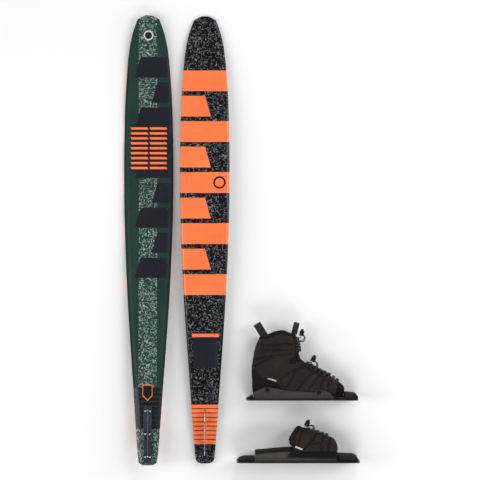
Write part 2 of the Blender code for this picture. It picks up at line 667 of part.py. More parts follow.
def build_toe_wrap(side, word, parent):
    """A side wrap that ties the toe cover down to the rail, outside the riser."""
    outline = [(0.1900, 0.0240), (0.2050, 0.0435), (0.3790, 0.0435), (0.3790, 0.0180)]
    low, high = sorted((side * 0.0512, side * 0.0562))
    prism_object(f"toe_wrap_{word}", outline, low, high, parent, "foam_black")


def build_toe_plate(parent):
    plate_object("toe_plate", 0.0, 0.4641, parent, (0.095, 0.345))
    low = PLATE_THICK + GAP
    riser = [(0.0694, low), (0.3760, low)] + list(reversed(RISER_TOP))
    prism_object("toe_riser", riser, -0.0465, 0.0465, parent, "plate_grey")
    top = [(x, z + GAP) for x, z in RISER_TOP]
    sheet = top + [(x, z + 0.0065) for x, z in reversed(top)]
    prism_object("toe_footbed", sheet, -0.0465, 0.0465, parent, "foam_black")
    rail = [(0.1720, 0.0073), (0.1930, 0.0205), (0.3760, 0.0145), (0.3760, 0.0073)]
    for word, side in (("left", 1), ("right", -1)):
        rail_low, rail_high = sorted((side * 0.0470, side * 0.0505))
        prism_object(f"toe_rail_{word}", [(x, max(z, low)) if z > 0.01 else (x, low) for x, z in rail], rail_low,
                     rail_high, parent, "plate_grey")
        build_toe_wrap(side, word, parent)
    heel = [(0.0040, low), (0.0660, low), (0.0660, 0.0165), (0.0280, 0.0160), (0.0110, 0.0110)]
    prism_object("toe_heel_pad", heel, -0.045, 0.045, parent, "foam_black")
    front = [(0.3830, low), (0.4570, low), (0.4580, 0.0130), (0.4500, 0.0215), (0.4380, 0.0250), (0.3830, 0.0265)]
    prism_object("toe_front_pad", front, -0.046, 0.046, parent, "foam_black")
    build_toe_cover(parent)
    lace = [(0.3430, 0.1005), (0.3260, 0.1060), (0.3090, 0.1120), (0.2920, 0.1170), (0.2750, 0.1225)]
    cord_tube("toe_lace", zigzag(lace, 0.015) + [(0.2630, 0.0, 0.1270)], parent)
    cord_lock("toe_lock", parent, TOE_LOCK)


def build():
    clear_scene()
    shared = ski_meshes()
    build_ski("a", frame("ski_a_frame", ski_a_matrix()), shared)
    build_ski("b", frame("ski_b_frame", ski_b_matrix()), shared)
    build_boot(frame("boot_frame", on_its_side(BOOT_AT)))
    build_toe_plate(frame("toe_plate_frame", on_its_side(TOE_PLATE_AT)))


build()
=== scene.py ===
"""Looks of the slalom water ski pair, its laced front boot and its rear toe plate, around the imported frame.

Each ski is made in its own frame: X from tail to tip, Y to its left, Z up through the deck. Each binding is
made in its own frame: X towards the toe, Y to its left, Z up from the plate. Both are then put in place.
"""

import functools
import json
import math

import bmesh
import bpy
import numpy as np
from mathutils import Matrix, Vector, noise


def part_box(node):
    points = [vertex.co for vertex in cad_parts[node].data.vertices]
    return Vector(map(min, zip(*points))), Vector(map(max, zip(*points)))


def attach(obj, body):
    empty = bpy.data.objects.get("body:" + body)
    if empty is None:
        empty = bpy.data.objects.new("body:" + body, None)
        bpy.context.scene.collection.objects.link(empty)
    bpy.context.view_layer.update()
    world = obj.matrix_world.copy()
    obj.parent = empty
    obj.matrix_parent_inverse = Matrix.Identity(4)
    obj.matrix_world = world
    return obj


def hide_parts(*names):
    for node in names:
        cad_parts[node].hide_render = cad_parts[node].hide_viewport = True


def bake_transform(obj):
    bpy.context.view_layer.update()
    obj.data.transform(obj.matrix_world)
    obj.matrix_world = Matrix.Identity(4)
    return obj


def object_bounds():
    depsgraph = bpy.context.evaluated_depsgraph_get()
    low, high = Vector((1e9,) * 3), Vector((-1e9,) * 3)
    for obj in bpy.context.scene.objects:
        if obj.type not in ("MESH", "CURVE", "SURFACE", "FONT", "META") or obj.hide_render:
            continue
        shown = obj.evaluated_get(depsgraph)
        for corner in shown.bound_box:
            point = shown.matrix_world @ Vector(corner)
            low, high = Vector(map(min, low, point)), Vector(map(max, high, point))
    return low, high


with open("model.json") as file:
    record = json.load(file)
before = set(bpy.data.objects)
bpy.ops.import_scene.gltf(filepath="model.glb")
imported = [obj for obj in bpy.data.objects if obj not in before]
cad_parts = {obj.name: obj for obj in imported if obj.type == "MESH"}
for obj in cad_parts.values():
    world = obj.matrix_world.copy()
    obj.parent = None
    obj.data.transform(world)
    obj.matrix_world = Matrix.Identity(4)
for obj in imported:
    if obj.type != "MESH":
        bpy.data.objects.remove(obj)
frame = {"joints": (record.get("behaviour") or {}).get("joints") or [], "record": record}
cad_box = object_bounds()


# ---- where things are ----
def joint(name):
    return next(j for j in frame["joints"] if j["name"] == name)


def mount_at(name):
    return Vector(next(m for m in frame["record"]["mounts"] if m["name"] == name)["pos_m"])


def ski_place(tag):
    """The ski's own frame, from its joints' axes and the mount on the middle of its deck."""
    along = Vector(joint(f"ski_{tag}_fin_block_slide")["axis"])
    up = -Vector(joint(f"ski_{tag}_fin_depth")["axis"])
    turn = Matrix((along, up.cross(along), up)).transposed().to_4x4()
    rear, front = DECK_MOUNT
    on_deck = Vector(((rear + front) / 2, 0, (deck_z(rear) + deck_z(front)) / 2))
    return Matrix.Translation(mount_at(f"ski_{tag}_deck") - turn @ on_deck) @ turn


def binding_place(plate, rear):
    """A binding's own frame: it lies on its left side, so its left points down and its top to +Y."""
    low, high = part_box(plate)
    origin = Vector((low.x - rear, low.y, (low.z + high.z) / 2))
    return Matrix.Translation(origin) @ Matrix.Rotation(math.radians(-90), 4, "X")


# ---- mesh tools ----
def smooth_value(table, at):
    """A Catmull-Rom curve through the (place, value) pairs of a table."""
    at = min(max(at, table[0][0]), table[-1][0])
    i = max(k for k in range(len(table) - 1) if table[k][0] <= at)
    (x0, v0), (x1, v1) = table[i], table[i + 1]

    def slope(k):
        low, high = max(k - 1, 0), min(k + 1, len(table) - 1)
        return (table[high][1] - table[low][1]) / (table[high][0] - table[low][0])

    span = x1 - x0
    t = (at - x0) / span
    return (
        (2 * t**3 - 3 * t**2 + 1) * v0
        + (t**3 - 2 * t**2 + t) * span * slope(i)
        + (3 * t**2 - 2 * t**3) * v1
        + (t**3 - t**2) * span * slope(i + 1)
    )


def smooth_route(points, steps):
    """Points of a Catmull-Rom curve through the given ones, the ends included."""
    padded = [points[0], *points, points[-1]]
    made = []
    for i in range(1, len(padded) - 2):
        a, b, c, d = (Vector(p) for p in padded[i - 1:i + 3])
        for k in range(steps):
            t = k / steps
            made.append(0.5 * (2 * b + (c - a) * t + (2 * a - 5 * b + 4 * c - d) * t**2
                               + (3 * b - a - 3 * c + d) * t**3))
    return [*made, Vector(points[-1])]


def arc(centre, radius, start, end, steps):
    """Points of a flat arc, from one angle in degrees to another."""
    angles = [math.radians(start + (end - start) * i / steps) for i in range(steps + 1)]
    return [(centre[0] + radius * math.cos(a), centre[1] + radius * math.sin(a)) for a in angles]


def rounded(points, radius, steps=2):
    """A closed outline with each corner turned into a short curve."""
    made = []
    for i, corner in enumerate(points):
        corner = Vector(corner)
        before, after = Vector(points[i - 1]), Vector(points[(i + 1) % len(points)])
        cut = min(radius, 0.45 * (before - corner).length, 0.45 * (after - corner).length)
        a = corner + (before - corner).normalized() * cut
        b = corner + (after - corner).normalized() * cut
        made += [a * (1 - t) ** 2 + corner * 2 * t * (1 - t) + b * t**2
                 for t in [k / steps for k in range(steps + 1)]]
    return made


def start_ring(bm, places):
    ring = [bm.verts.new(p) for p in places]
    for i in range(len(ring)):
        bm.edges.new((ring[i - 1], ring[i]))
    return ring


def next_ring(bm, ring, places):
    """The ring is extruded, and each new corner moves to its place."""
    edges = [bm.edges.get((ring[i - 1], ring[i])) for i in range(len(ring))]
    made = bmesh.ops.extrude_edge_only(bm, edges=edges)["geom"]
    fresh = {v for v in made if isinstance(v, bmesh.types.BMVert)}
    following = [next(e.other_vert(v) for e in v.link_edges if e.other_vert(v) in fresh) for v in ring]
    for v, place in zip(following, places):
        v.co = place
    return following


def loft(bm, rings, capped=True):
    """Closed rings of equally many points, each extruded into the next, with both ends closed."""
    first = ring = start_ring(bm, rings[0])
    for places in rings[1:]:
        ring = next_ring(bm, ring, places)
    if capped:
        bm.faces.new(first)
        bm.faces.new(ring)
    bmesh.ops.recalc_face_normals(bm, faces=bm.faces)


def prism(bm, outline, low, high, axis="Y"):
    """A flat outline drawn out between two places along one axis.

    The outline is (x, z) for Y, (x, y) for Z and (y, z) for X.
    """
    orders = {"Y": lambda a, b: (a, low, b), "Z": lambda a, b: (a, b, low), "X": lambda a, b: (low, a, b)}
    order = orders[axis]
    face = bm.faces.new([bm.verts.new(order(a, b)) for a, b in outline])
    made = bmesh.ops.extrude_face_region(bm, geom=[face])["geom"]
    reach = Vector([high - low if name == axis else 0 for name in "XYZ"])
    bmesh.ops.translate(bm, verts=[v for v in made if isinstance(v, bmesh.types.BMVert)], vec=reach)
    bmesh.ops.recalc_face_normals(bm, faces=bm.faces)


def drill(bm, radius, depth, place, segments):
    """A round bar with closed ends, to be cut out of a piece."""
    bmesh.ops.create_cone(bm, cap_ends=True, segments=segments, radius1=radius, radius2=radius, depth=depth,
                          matrix=place)


def soften(bm, width, segments=2, angle=30):
    """Bevels every edge sharper than an angle."""
    sharp = [e for e in bm.edges if len(e.link_faces) == 2 and e.calc_face_angle(0) > math.radians(angle)]
    bmesh.ops.bevel(bm, geom=sharp, offset=width, segments=segments, profile=0.5, affect="EDGES", material=-1,
                    clamp_overlap=True)


def turned(profile, steps=24):
    """A turned piece: (radius, height) pairs spun round Z, closed at the axis where the radius is 0."""
    bm = bmesh.new()
    verts = [bm.verts.new((r, 0, z)) for r, z in profile]
    edges = [bm.edges.new(pair) for pair in zip(verts, verts[1:])]
    bmesh.ops.spin(bm, geom=verts + edges, cent=(0, 0, 0), axis=(0, 0, 1), angle=2 * math.pi, steps=steps,
                   use_merge=True)
    bmesh.ops.remove_doubles(bm, verts=bm.verts, dist=1e-6)
    bmesh.ops.recalc_face_normals(bm, faces=bm.faces)
    return bm


def mesh_of(bm, name, angle=35):
    mesh = bpy.data.meshes.new(name)
    bm.to_mesh(mesh)
    bm.free()
    mesh.shade_smooth()
    mesh.set_sharp_from_angle(angle=math.radians(angle))
    return mesh


def show(name, mesh, finishes, place=None):
    """An object at the origin with its place in its mesh, in one finish or several."""
    made = bpy.data.objects.new(name, mesh)
    bpy.context.scene.collection.objects.link(made)
    if place is not None:
        mesh.transform(place)
    for finish in finishes if isinstance(finishes, (list, tuple)) else [finishes]:
        mesh.materials.append(finish)
    return made


def cut(bm, cutters, operation="DIFFERENCE"):
    """The body after Blender's exact Boolean with each cutter in turn, as a new bmesh."""
    body = bpy.data.objects.new("uncut", mesh_of(bm, "uncut"))
    tools = [bpy.data.objects.new("cutter", mesh_of(tool, "cutter")) for tool in cutters]
    for made in [body, *tools]:
        bpy.context.scene.collection.objects.link(made)
    for tool in tools:
        step = body.modifiers.new("cut", "BOOLEAN")
        step.operation = operation
        step.solver = "EXACT"
        step.object = tool
    bpy.context.view_layer.update()
    result = bmesh.new()
    result.from_mesh(body.evaluated_get(bpy.context.evaluated_depsgraph_get()).to_mesh())
    for made in [body, *tools]:
        bpy.data.objects.remove(made)
    return result


def copies(mesh, places):
    """One bmesh with a copy of a mesh at each place."""
    bm = bmesh.new()
    for place in places:
        before = len(bm.verts)
        bm.from_mesh(mesh)
        bm.verts.ensure_lookup_table()
        bmesh.ops.transform(bm, matrix=place, verts=bm.verts[before:])
    return bm


# ---- finishes ----
class Finish:
    """A material's node tree, with short calls for the nodes that the finishes share."""

    def __init__(self, name, colour, roughness, metallic=0.0, **sockets):
        self.material = bpy.data.materials.new(name)
        self.material.use_nodes = True
        self.tree = self.material.node_tree
        self.shader = self.tree.nodes["Principled BSDF"]
        self.shader.inputs["Metallic"].default_value = metallic
        self.set("Base Color", colour)
        self.set("Roughness", roughness)
        self.set("Specular IOR Level", 0.5 if metallic else 0.22)
        for socket, value in sockets.items():
            self.shader.inputs[socket.replace("_", " ")].default_value = value
        self.place = self.node("ShaderNodeTexCoord").outputs["Object"]

    def node(self, kind, **inputs):
        made = self.tree.nodes.new(kind)
        for socket, value in inputs.items():
            self.feed(made.inputs[socket.replace("_", " ")], value)
        return made

    def feed(self, socket, value):
        if isinstance(value, bpy.types.NodeSocket):
            self.tree.links.new(value, socket)
        elif isinstance(value, tuple) and len(value) == 3 and socket.type == "RGBA":
            socket.default_value = (*value, 1.0)
        else:
            socket.default_value = value

    def set(self, socket, value):
        self.feed(self.shader.inputs[socket], value)

    def own(self, name):
        """A vector that the piece's own points carry."""
        made = self.node("ShaderNodeAttribute")
        made.attribute_name = name
        return made.outputs["Vector"]

    def stretched(self, scale):
        """Object coordinates, stretched: a small number along an axis draws the pattern out along it."""
        return self.node("ShaderNodeMapping", Vector=self.place, Scale=scale).outputs["Vector"]

    def noise(self, scale, detail=2.0, stretch=(1, 1, 1), distortion=0.0, roughness=0.5):
        made = self.node("ShaderNodeTexNoise", Vector=self.stretched(stretch), Scale=scale, Detail=detail,
                         Roughness=roughness, Distortion=distortion)
        return made.outputs["Fac"]

    def cells(self, scale, feature="F1", stretch=(1, 1, 1)):
        made = self.node("ShaderNodeTexVoronoi", Vector=self.stretched(stretch), Scale=scale)
        made.feature = feature
        return made.outputs["Distance"]

    def waves(self, scale, direction, distortion=0.0, turn=(0, 0, 0)):
        place = self.node("ShaderNodeMapping", Vector=self.place, Rotation=turn).outputs["Vector"]
        made = self.node("ShaderNodeTexWave", Vector=place, Scale=scale, Distortion=distortion)
        made.bands_direction = direction
        return made.outputs["Fac"]

    def maths(self, operation, a, b=0.0):
        made = self.node("ShaderNodeMath")
        made.operation = operation
        self.feed(made.inputs[0], a)
        self.feed(made.inputs[1], b)
        return made.outputs["Value"]

    def span(self, value, low, high, to_low=0.0, to_high=1.0):
        """A value brought from one span to another, and kept inside it."""
        made = self.node("ShaderNodeMapRange", Value=value)
        for socket, number in zip(("From Min", "From Max", "To Min", "To Max"), (low, high, to_low, to_high)):
            self.feed(made.inputs[socket], number)
        return made.outputs["Result"]

    def mix(self, share, a, b):
        made = self.tree.nodes.new("ShaderNodeMix")
        made.data_type = "RGBA"
        self.feed(made.inputs["Factor"], share)
        self.feed([s for s in made.inputs if s.name == "A" and s.type == "RGBA"][0], a)
        self.feed([s for s in made.inputs if s.name == "B" and s.type == "RGBA"][0], b)
        return [s for s in made.outputs if s.type == "RGBA"][0]

    def bump(self, height, distance, strength=1.0):
        made = self.node("ShaderNodeBump", Height=height, Distance=distance, Strength=strength)
        self.set("Normal", made.outputs["Normal"])


def tinted(colour, factor):
    return tuple(c * factor for c in colour)


GREEN = (0.0175, 0.0420, 0.0350)
INK = (0.0150, 0.0158, 0.0220)
ORANGE = (0.985, 0.200, 0.064)
PALE_GREEN = (0.300, 0.385, 0.350)
BASE_BLACK = (0.0050, 0.0054, 0.0072)


def lacquer(name, colour, roughness=0.32, coat=0.12, specular=0.22):
    """Printed colour under the deck's clear coat, with faint cloudiness and fine scuffs."""
    f = Finish(name, colour, roughness, Coat_Weight=coat, Coat_Roughness=0.12, Specular_IOR_Level=specular)
    cloud = f.noise(9.0, 3.0)
    f.set("Base Color", f.mix(f.span(cloud, 0.3, 0.7), tinted(colour, 0.90), tinted(colour, 1.12)))
    scuff = f.noise(160.0, 4.0, stretch=(1, 0.08, 1))
    f.set("Roughness", f.span(scuff, 0.35, 0.75, roughness - 0.04, roughness + 0.08))
    f.bump(f.noise(700.0, 2.0), 0.00006, 0.35)
    return f.material


def squiggles(name, ground, mark, scale, roughness, coat, low=0.27, high=0.45):
    """A print of short wandering strokes: bands of equal height in a distorted noise."""
    f = Finish(name, ground, roughness, Coat_Weight=coat, Coat_Roughness=0.08)
    field = f.noise(scale, 1.5, distortion=0.5)
    ridges = f.maths("ABSOLUTE", f.maths("SUBTRACT", f.maths("FRACT", f.maths("MULTIPLY", field, 8.0)), 0.5))
    stroke = f.span(ridges, high, low, 0.0, 1.0)
    broken = f.span(f.noise(scale * 2.6, 1.0), 0.43, 0.49)
    share = f.maths("MULTIPLY", f.maths("SUBTRACT", 1.0, stroke), broken)
    f.set("Base Color", f.mix(share, ground, mark))
    f.set("Roughness", f.span(f.noise(120.0, 3.0), 0.3, 0.7, roughness - 0.03, roughness + 0.05))
    return f.material


def anodised(name, colour, roughness, grain=(1, 1, 1), bump=0.25):
    """Anodised aluminium with the fine grain that brushing or blasting leaves."""
    f = Finish(name, colour, roughness, metallic=0.85)
    brushed = f.noise(900.0, 3.0, stretch=grain)
    f.set("Base Color", f.mix(f.span(brushed, 0.3, 0.7), tinted(colour, 0.82), tinted(colour, 1.15)))
    f.set("Roughness", f.span(f.noise(40.0, 3.0), 0.3, 0.7, roughness - 0.05, roughness + 0.07))
    f.bump(brushed, 0.00005, bump)
    return f.material


DECK_GREEN = lacquer("deck_green", GREEN, 0.38, 0.02, 0.08)
# painted shade: the deck's sloping rims take a darker green for the shade on its bevelled edges
DECK_RIM_PAINTED_SHADE = lacquer("deck_rim_green_painted_shade", tinted(GREEN, 0.75), 0.50, 0.0, 0.04)
DECK_INK = lacquer("deck_ink", INK, 0.38, 0.04, 0.12)
DECK_STRIPE = lacquer("deck_stripe_black", (0.0085, 0.0095, 0.0120), 0.30, 0.15)
DECK_ORANGE = lacquer("deck_orange", ORANGE)
DECK_PALE = lacquer("deck_pale", (0.52, 0.58, 0.56))
DECK_SQUIGGLE = squiggles("deck_squiggle", GREEN, PALE_GREEN, 46.0, 0.33, 0.12, 0.27, 0.41)
BASE_SQUIGGLE = squiggles("base_squiggle", BASE_BLACK, (0.150, 0.158, 0.174), 38.0, 0.22, 0.16, 0.33, 0.42)
BASE_ORANGE = lacquer("base_orange", ORANGE, 0.18, 0.45)
BASE_SLATE = lacquer("base_slate", (0.0135, 0.0160, 0.0215), 0.18, 0.45)
BASE_EDGE = lacquer("base_edge_black", (0.0050, 0.0055, 0.0070), 0.18, 0.45)
SKI_FINISHES = [
    DECK_GREEN, DECK_RIM_PAINTED_SHADE, DECK_INK, DECK_STRIPE, DECK_ORANGE, DECK_PALE, DECK_SQUIGGLE,
    BASE_SQUIGGLE, BASE_ORANGE, BASE_SLATE, BASE_EDGE,
]
FIN_METAL = anodised("fin_brushed", (0.70, 0.71, 0.72), 0.26, grain=(1, 0.02, 1))
BLOCK_METAL = anodised("block_anodised", (0.060, 0.072, 0.098), 0.36)
STEEL = anodised("screw_steel", (0.62, 0.60, 0.56), 0.22, grain=(1, 1, 0.1))
BRASS = anodised("insert_brass", (0.16, 0.085, 0.050), 0.42)


# ---- the ski's own curves, as in the frame ----
LENGTH = 1.702
TAIL_RADIUS = 0.020
NOSE_START = 1.688
NOSE_HALF = 0.016
HALF_WIDTHS = (
    (0.00, 0.0350), (0.11, 0.0442), (0.28, 0.0560), (0.45, 0.0683), (0.62, 0.0795), (0.79, 0.0878),
    (0.96, 0.0930), (1.135, 0.0945), (1.305, 0.0920), (1.42, 0.0873), (1.533, 0.0785), (1.60, 0.0690),
    (1.647, 0.0570), (1.688, 0.0415),
)
THICKNESSES = (
    (0.25, 0.0173), (0.60, 0.0245), (0.90, 0.0235), (1.20, 0.0185), (1.50, 0.0118), (1.702, 0.0080),
)
ROCKER_START = 0.60
TAIL_RISE = 0.012
TIP_RISE = 0.085
FLAT_DECK_END = 0.25
FLAT_DECK_Z = 0.0215
TUNNEL_DEPTH = 0.004
DECK_MOUNT = (0.8205, 0.8790)
GAP = 0.0003
FIN_THICK = 0.0020
FIN_DEPTH = 0.0635
FIN_TAB = (0.036, 0.204)
FIN_SLOT = (0.030, 0.210)
BLOCK = (0.0087, 0.2260)
BLOCK_HALF = 0.0150
BLOCK_HEIGHT = 0.0120
RECESS_DEPTH = 0.0040
SCREW_HOLE_R = 0.0027
SCREW_HOLE_DEPTH = 0.0088
SCREW_ROWS = (0.0315, 0.1176, 0.2040)
SCREW_Y = 0.0085
INSERTS = ((0.441, 0.037), (0.468, 0.037), (0.491, 0.037), (0.753, 0.0557), (0.812, 0.0600), (0.969, 0.0710),
           (1.060, 0.0715))
INSERT_R = 0.0030
INSERT_DEPTH = 0.0085


def base_z(s):
    """Height of the base rims above the flat line, at a distance from the tail."""
    if s < ROCKER_START:
        return TAIL_RISE * ((ROCKER_START - s) / ROCKER_START) ** 2
    return TIP_RISE * ((s - ROCKER_START) / (LENGTH - ROCKER_START)) ** 2.2


def deck_z(s):
    return FLAT_DECK_Z if s < FLAT_DECK_END else base_z(s) + smooth_value(THICKNESSES, s)


def half_width(s):
    if s > NOSE_START:
        last = HALF_WIDTHS[-1][1]
        return last + (NOSE_HALF - last) * (s - NOSE_START) / (LENGTH - NOSE_START)
    rounding = TAIL_RADIUS - math.sqrt(TAIL_RADIUS**2 - max(TAIL_RADIUS - s, 0) ** 2)
    return smooth_value(HALF_WIDTHS, s) - rounding


def ski_section(s):
    """The ski's closed outline across, with soft corners, from the deck's edge round the base and back."""
    w, low, high = half_width(s), base_z(s), deck_z(s)
    thick, k = high - low, min(1.0, half_width(s) / 0.05)
    tunnel = TUNNEL_DEPTH * min(1.0, thick / 0.016) * k
    side = [
        (w - 0.021 * k, high), (w - 0.009 * k, low + 0.86 * thick), (w - 0.0012 * k, low + 0.56 * thick),
        (w, low + 0.36 * thick), (w - 0.007 * k, low), (w - 0.015 * k, low),
        (w - 0.027 * k, low + 0.55 * tunnel), (0.36 * w, low + 0.92 * tunnel),
    ]
    ring = [(y, z) for y, z in side] + [(0.0, low + tunnel)] + [(-y, z) for y, z in reversed(side)]
    return [(s, p.x, p.y) for p in rounded(ring, 0.0022 * k)]


def blade_body():
    """The bare blade, with the fin slot and the holes for the binding inserts cut in it."""
    tail = [TAIL_RADIUS * (1 - math.cos(math.radians(9 * i))) for i in range(11)]
    body = [TAIL_RADIUS + (1.668 - TAIL_RADIUS) * i / 130 for i in range(1, 131)]
    nose = [1.675, 1.682, NOSE_START, 1.6925, 1.6975, LENGTH]
    bm = bmesh.new()
    loft(bm, [ski_section(s) for s in tail + body + nose])
    slot = bmesh.new()
    half = FIN_THICK / 2 + 2 * GAP
    corners = [(FIN_SLOT[0], -half), (FIN_SLOT[1], -half), (FIN_SLOT[1], half), (FIN_SLOT[0], half)]
    prism(slot, corners, -0.02, 0.05, "Z")
    holes = bmesh.new()
    for s, y in INSERTS:
        for side in (-1, 1):
            centre = Vector((s, side * y, deck_z(s) + 0.01 - INSERT_DEPTH / 2 - 0.005))
            drill(holes, INSERT_R + 0.0001, INSERT_DEPTH + 0.01, Matrix.Translation(centre), 20)
    for s in SCREW_ROWS:
        for side in (-1, 1):
            middle = (s, side * SCREW_Y, FLAT_DECK_Z - SCREW_HOLE_DEPTH + 0.015)
            drill(holes, SCREW_HOLE_R, 0.03, Matrix.Translation(middle), 12)
    return cut(bm, [slot, holes])


# ---- prints on the ski: each is a convex outline whose edges cut the blade's own faces ----
def box_outline(s0, s1, y0, y1):
    return [(s0, y0), (s1, y0), (s1, y1), (s0, y1)]


def bar_outline(s0, s1, y0, y1, radii):
    """A bar with its own corner radii, in the order (s0, y0), (s1, y0), (s1, y1), (s0, y1)."""
    corners = [(s0, y0, 1, 1, 180), (s1, y0, -1, 1, 270), (s1, y1, -1, -1, 0), (s0, y1, 1, -1, 90)]
    made = []
    for (s, y, ds, dy, start), r in zip(corners, radii):
        made += arc((s + ds * r, y + dy * r), r, start, start + 90, 8) if r else [(s, y)]
    return made


def disc_outline(s, y, r, steps=28):
    return arc((s, y), r, 0, 360 - 360 / steps, steps - 1)


def print_on(bm, face_up, outline, finish):
    """Cuts a convex outline into the deck's (1) or the base's (-1) faces and gives the inside its finish."""
    low = [min(p[i] for p in outline) for i in (0, 1)]
    high = [max(p[i] for p in outline) for i in (0, 1)]
    inside = []
    for f in bm.faces:
        if f.normal.z * face_up < 0.12:
            continue
        span = [(min(v.co[i] for v in f.verts), max(v.co[i] for v in f.verts)) for i in (0, 1)]
        if all(b > l and a < h for (a, b), l, h in zip(span, low, high)):
            inside.append(f)
    middle = Vector((sum(p[0] for p in outline), sum(p[1] for p in outline), 0)) / len(outline)
    for i, end in enumerate(outline):
        a, b = Vector((*outline[i - 1], 0)), Vector((*end, 0))
        away = (b - a).cross(Vector((0, 0, 1))).normalized()
        if away.dot(middle - a) > 0:
            away = -away
        geometry = list({g for f in inside for g in [f, *f.edges, *f.verts]})
        made = bmesh.ops.bisect_plane(bm, geom=geometry, dist=1e-6, plane_co=a, plane_no=away)["geom"]
        inside = [f for f in made
                  if isinstance(f, bmesh.types.BMFace) and away.dot(f.calc_center_median() - a) < 0]
    for f in inside:
        f.material_index = SKI_FINISHES.index(finish)


def slanted_bar(s0, s1, y0, y1, slant):
    """A bar across the ski whose end at y1 is cut on a slant."""
    return [(s0, y0), (s1, y0), (s1, y1 - slant), (s0, y1)]


def print_deck(bm):
    """Deck print. Across, outlines run from the ski's left at +Y to its right at -Y."""
    edge = 0.11

    def put(outline, finish):
        print_on(bm, 1, outline, finish)

    put(box_outline(0.291, 1.72, -0.033, 0.037), DECK_SQUIGGLE)
    put(box_outline(-0.01, 0.137, -edge, edge), DECK_SQUIGGLE)
    put(box_outline(0.137, 0.291, -edge, edge), DECK_STRIPE)
    for i in range(8):
        s = 0.1504 + 0.0174 * i
        put(box_outline(s, s + 0.0040, -edge, edge), DECK_GREEN)
    for i in range(9):
        s = 0.707 + 0.0952 * i
        put(slanted_bar(s, s + 0.0772, -edge, 0.052 if i % 2 == 0 else -0.012, 0.022), DECK_INK)
    put(box_outline(1.111, 1.290, -0.078, 0.069), DECK_INK)
    for row in range(9):
        s = 1.1210 + 0.0188 * row
        for low in (-0.071, 0.001):
            louvre = [(s, low), (s, low + 0.064), (s + 0.0088, low + 0.068), (s + 0.0088, low + 0.004)]
            put(louvre, DECK_ORANGE)
    badge = [(0.303, -0.017), (0.303, 0.021), (0.262, 0.021), (0.242, 0.002), (0.262, -0.017)]
    put(badge, DECK_ORANGE)
    middle = Vector((0.276, 0.002))
    put([tuple(middle + (Vector(p) - middle) * 0.88) for p in badge], DECK_STRIPE)
    put(disc_outline(1.627, 0.0, 0.0185), DECK_PALE)
    put(disc_outline(1.627, 0.0, 0.0135), DECK_INK)


def print_base(bm):
    """Base print: full and half bars in turn. Outlines run from the ski's right at -Y to its left at +Y."""
    edge, part = 0.11, 0.0230

    def put(outline, finish):
        print_on(bm, -1, outline, finish)

    for i in range(9):
        s = 0.643 + 0.0966 * i
        put(box_outline(s, s + 0.0786, -edge, edge) if i % 2 == 0 else
            slanted_bar(s, s + 0.0786, -edge, part, 0.022), BASE_ORANGE)
    put(disc_outline(1.069, 0.056, 0.024), BASE_EDGE)
    put(disc_outline(1.069, 0.056, 0.017), BASE_ORANGE)
    put(box_outline(0.483, 0.496, -0.048, 0.054), BASE_ORANGE)
    put(bar_outline(0.366, 0.481, -0.044, 0.049, (0.003,) * 4), BASE_SLATE)
    put(box_outline(0.074, 0.225, -edge, edge), BASE_ORANGE)
    for i in range(8):
        s = 0.0905 + 0.0169 * i
        put(box_outline(s, s + 0.0032, -edge, edge), BASE_EDGE)


def blade_mesh():
    """The printed blade: plain finishes by the way each face looks, with a darker green on the deck's sloping
    rims as painted shade, then the prints.
    """
    bm = blade_body()
    plain = {name: SKI_FINISHES.index(name) for name in (DECK_GREEN, DECK_RIM_PAINTED_SHADE, BASE_SQUIGGLE, BASE_EDGE)}
    for f in bm.faces:
        f.smooth = True
        if f.normal.z > 0.93:
            f.material_index = plain[DECK_GREEN]
        # sloping rim faces get the darker green: painted shade of the bevels
        elif f.normal.z > 0.0:
            f.material_index = plain[DECK_RIM_PAINTED_SHADE]
        else:
            f.material_index = plain[BASE_SQUIGGLE if f.normal.z < -0.80 else BASE_EDGE]
    print_deck(bm)
    print_base(bm)
    return mesh_of(bm, "blade", 32)


def insert_mesh():
    """A threaded brass insert: a flanged tube with a blind bottom and a few turns of thread."""
    thread = []
    for turn in range(6):
        z = -0.0008 - 0.0011 * turn
        thread += [(0.0023, z), (0.0020, z - 0.00055)]
    profile = [(0.0, -0.0083), (INSERT_R, -0.0083), (INSERT_R, -0.0001), (0.00285, 0.0001), (0.0024, 0.0)]
    return mesh_of(turned(profile + thread + [(0.0020, -0.0077), (0.0, -0.0077)], 16), "insert")


def fin_mesh():
    """The fin, with a raked leading edge, a rounded heel and all its edges broken."""
    low = base_z(0.1) - FIN_DEPTH
    lead = [(FIN_TAB[1] - 0.106 * (1 - math.cos(a)), 0.006 + (low - 0.006) * math.sin(a))
            for a in [math.radians(3 * i) for i in range(31)]]
    heel = arc((FIN_TAB[0] + 0.020, low + 0.018), 0.018, 270, 190, 12)
    outline = [(FIN_TAB[0], 0.0310), (FIN_TAB[1], 0.0310)] + lead + heel + [(FIN_TAB[0] + 0.001, 0.0)]
    bm = bmesh.new()
    prism(bm, outline, -FIN_THICK / 2, FIN_THICK / 2)
    soften(bm, 0.0004, 2, 60)
    return mesh_of(bm, "fin")


def stadium(x, y, half_length, half_wide, steps=12):
    run = half_length - half_wide
    return arc((x + run, y), half_wide, -90, 90, steps) + arc((x - run, y), half_wide, 90, 270, steps)


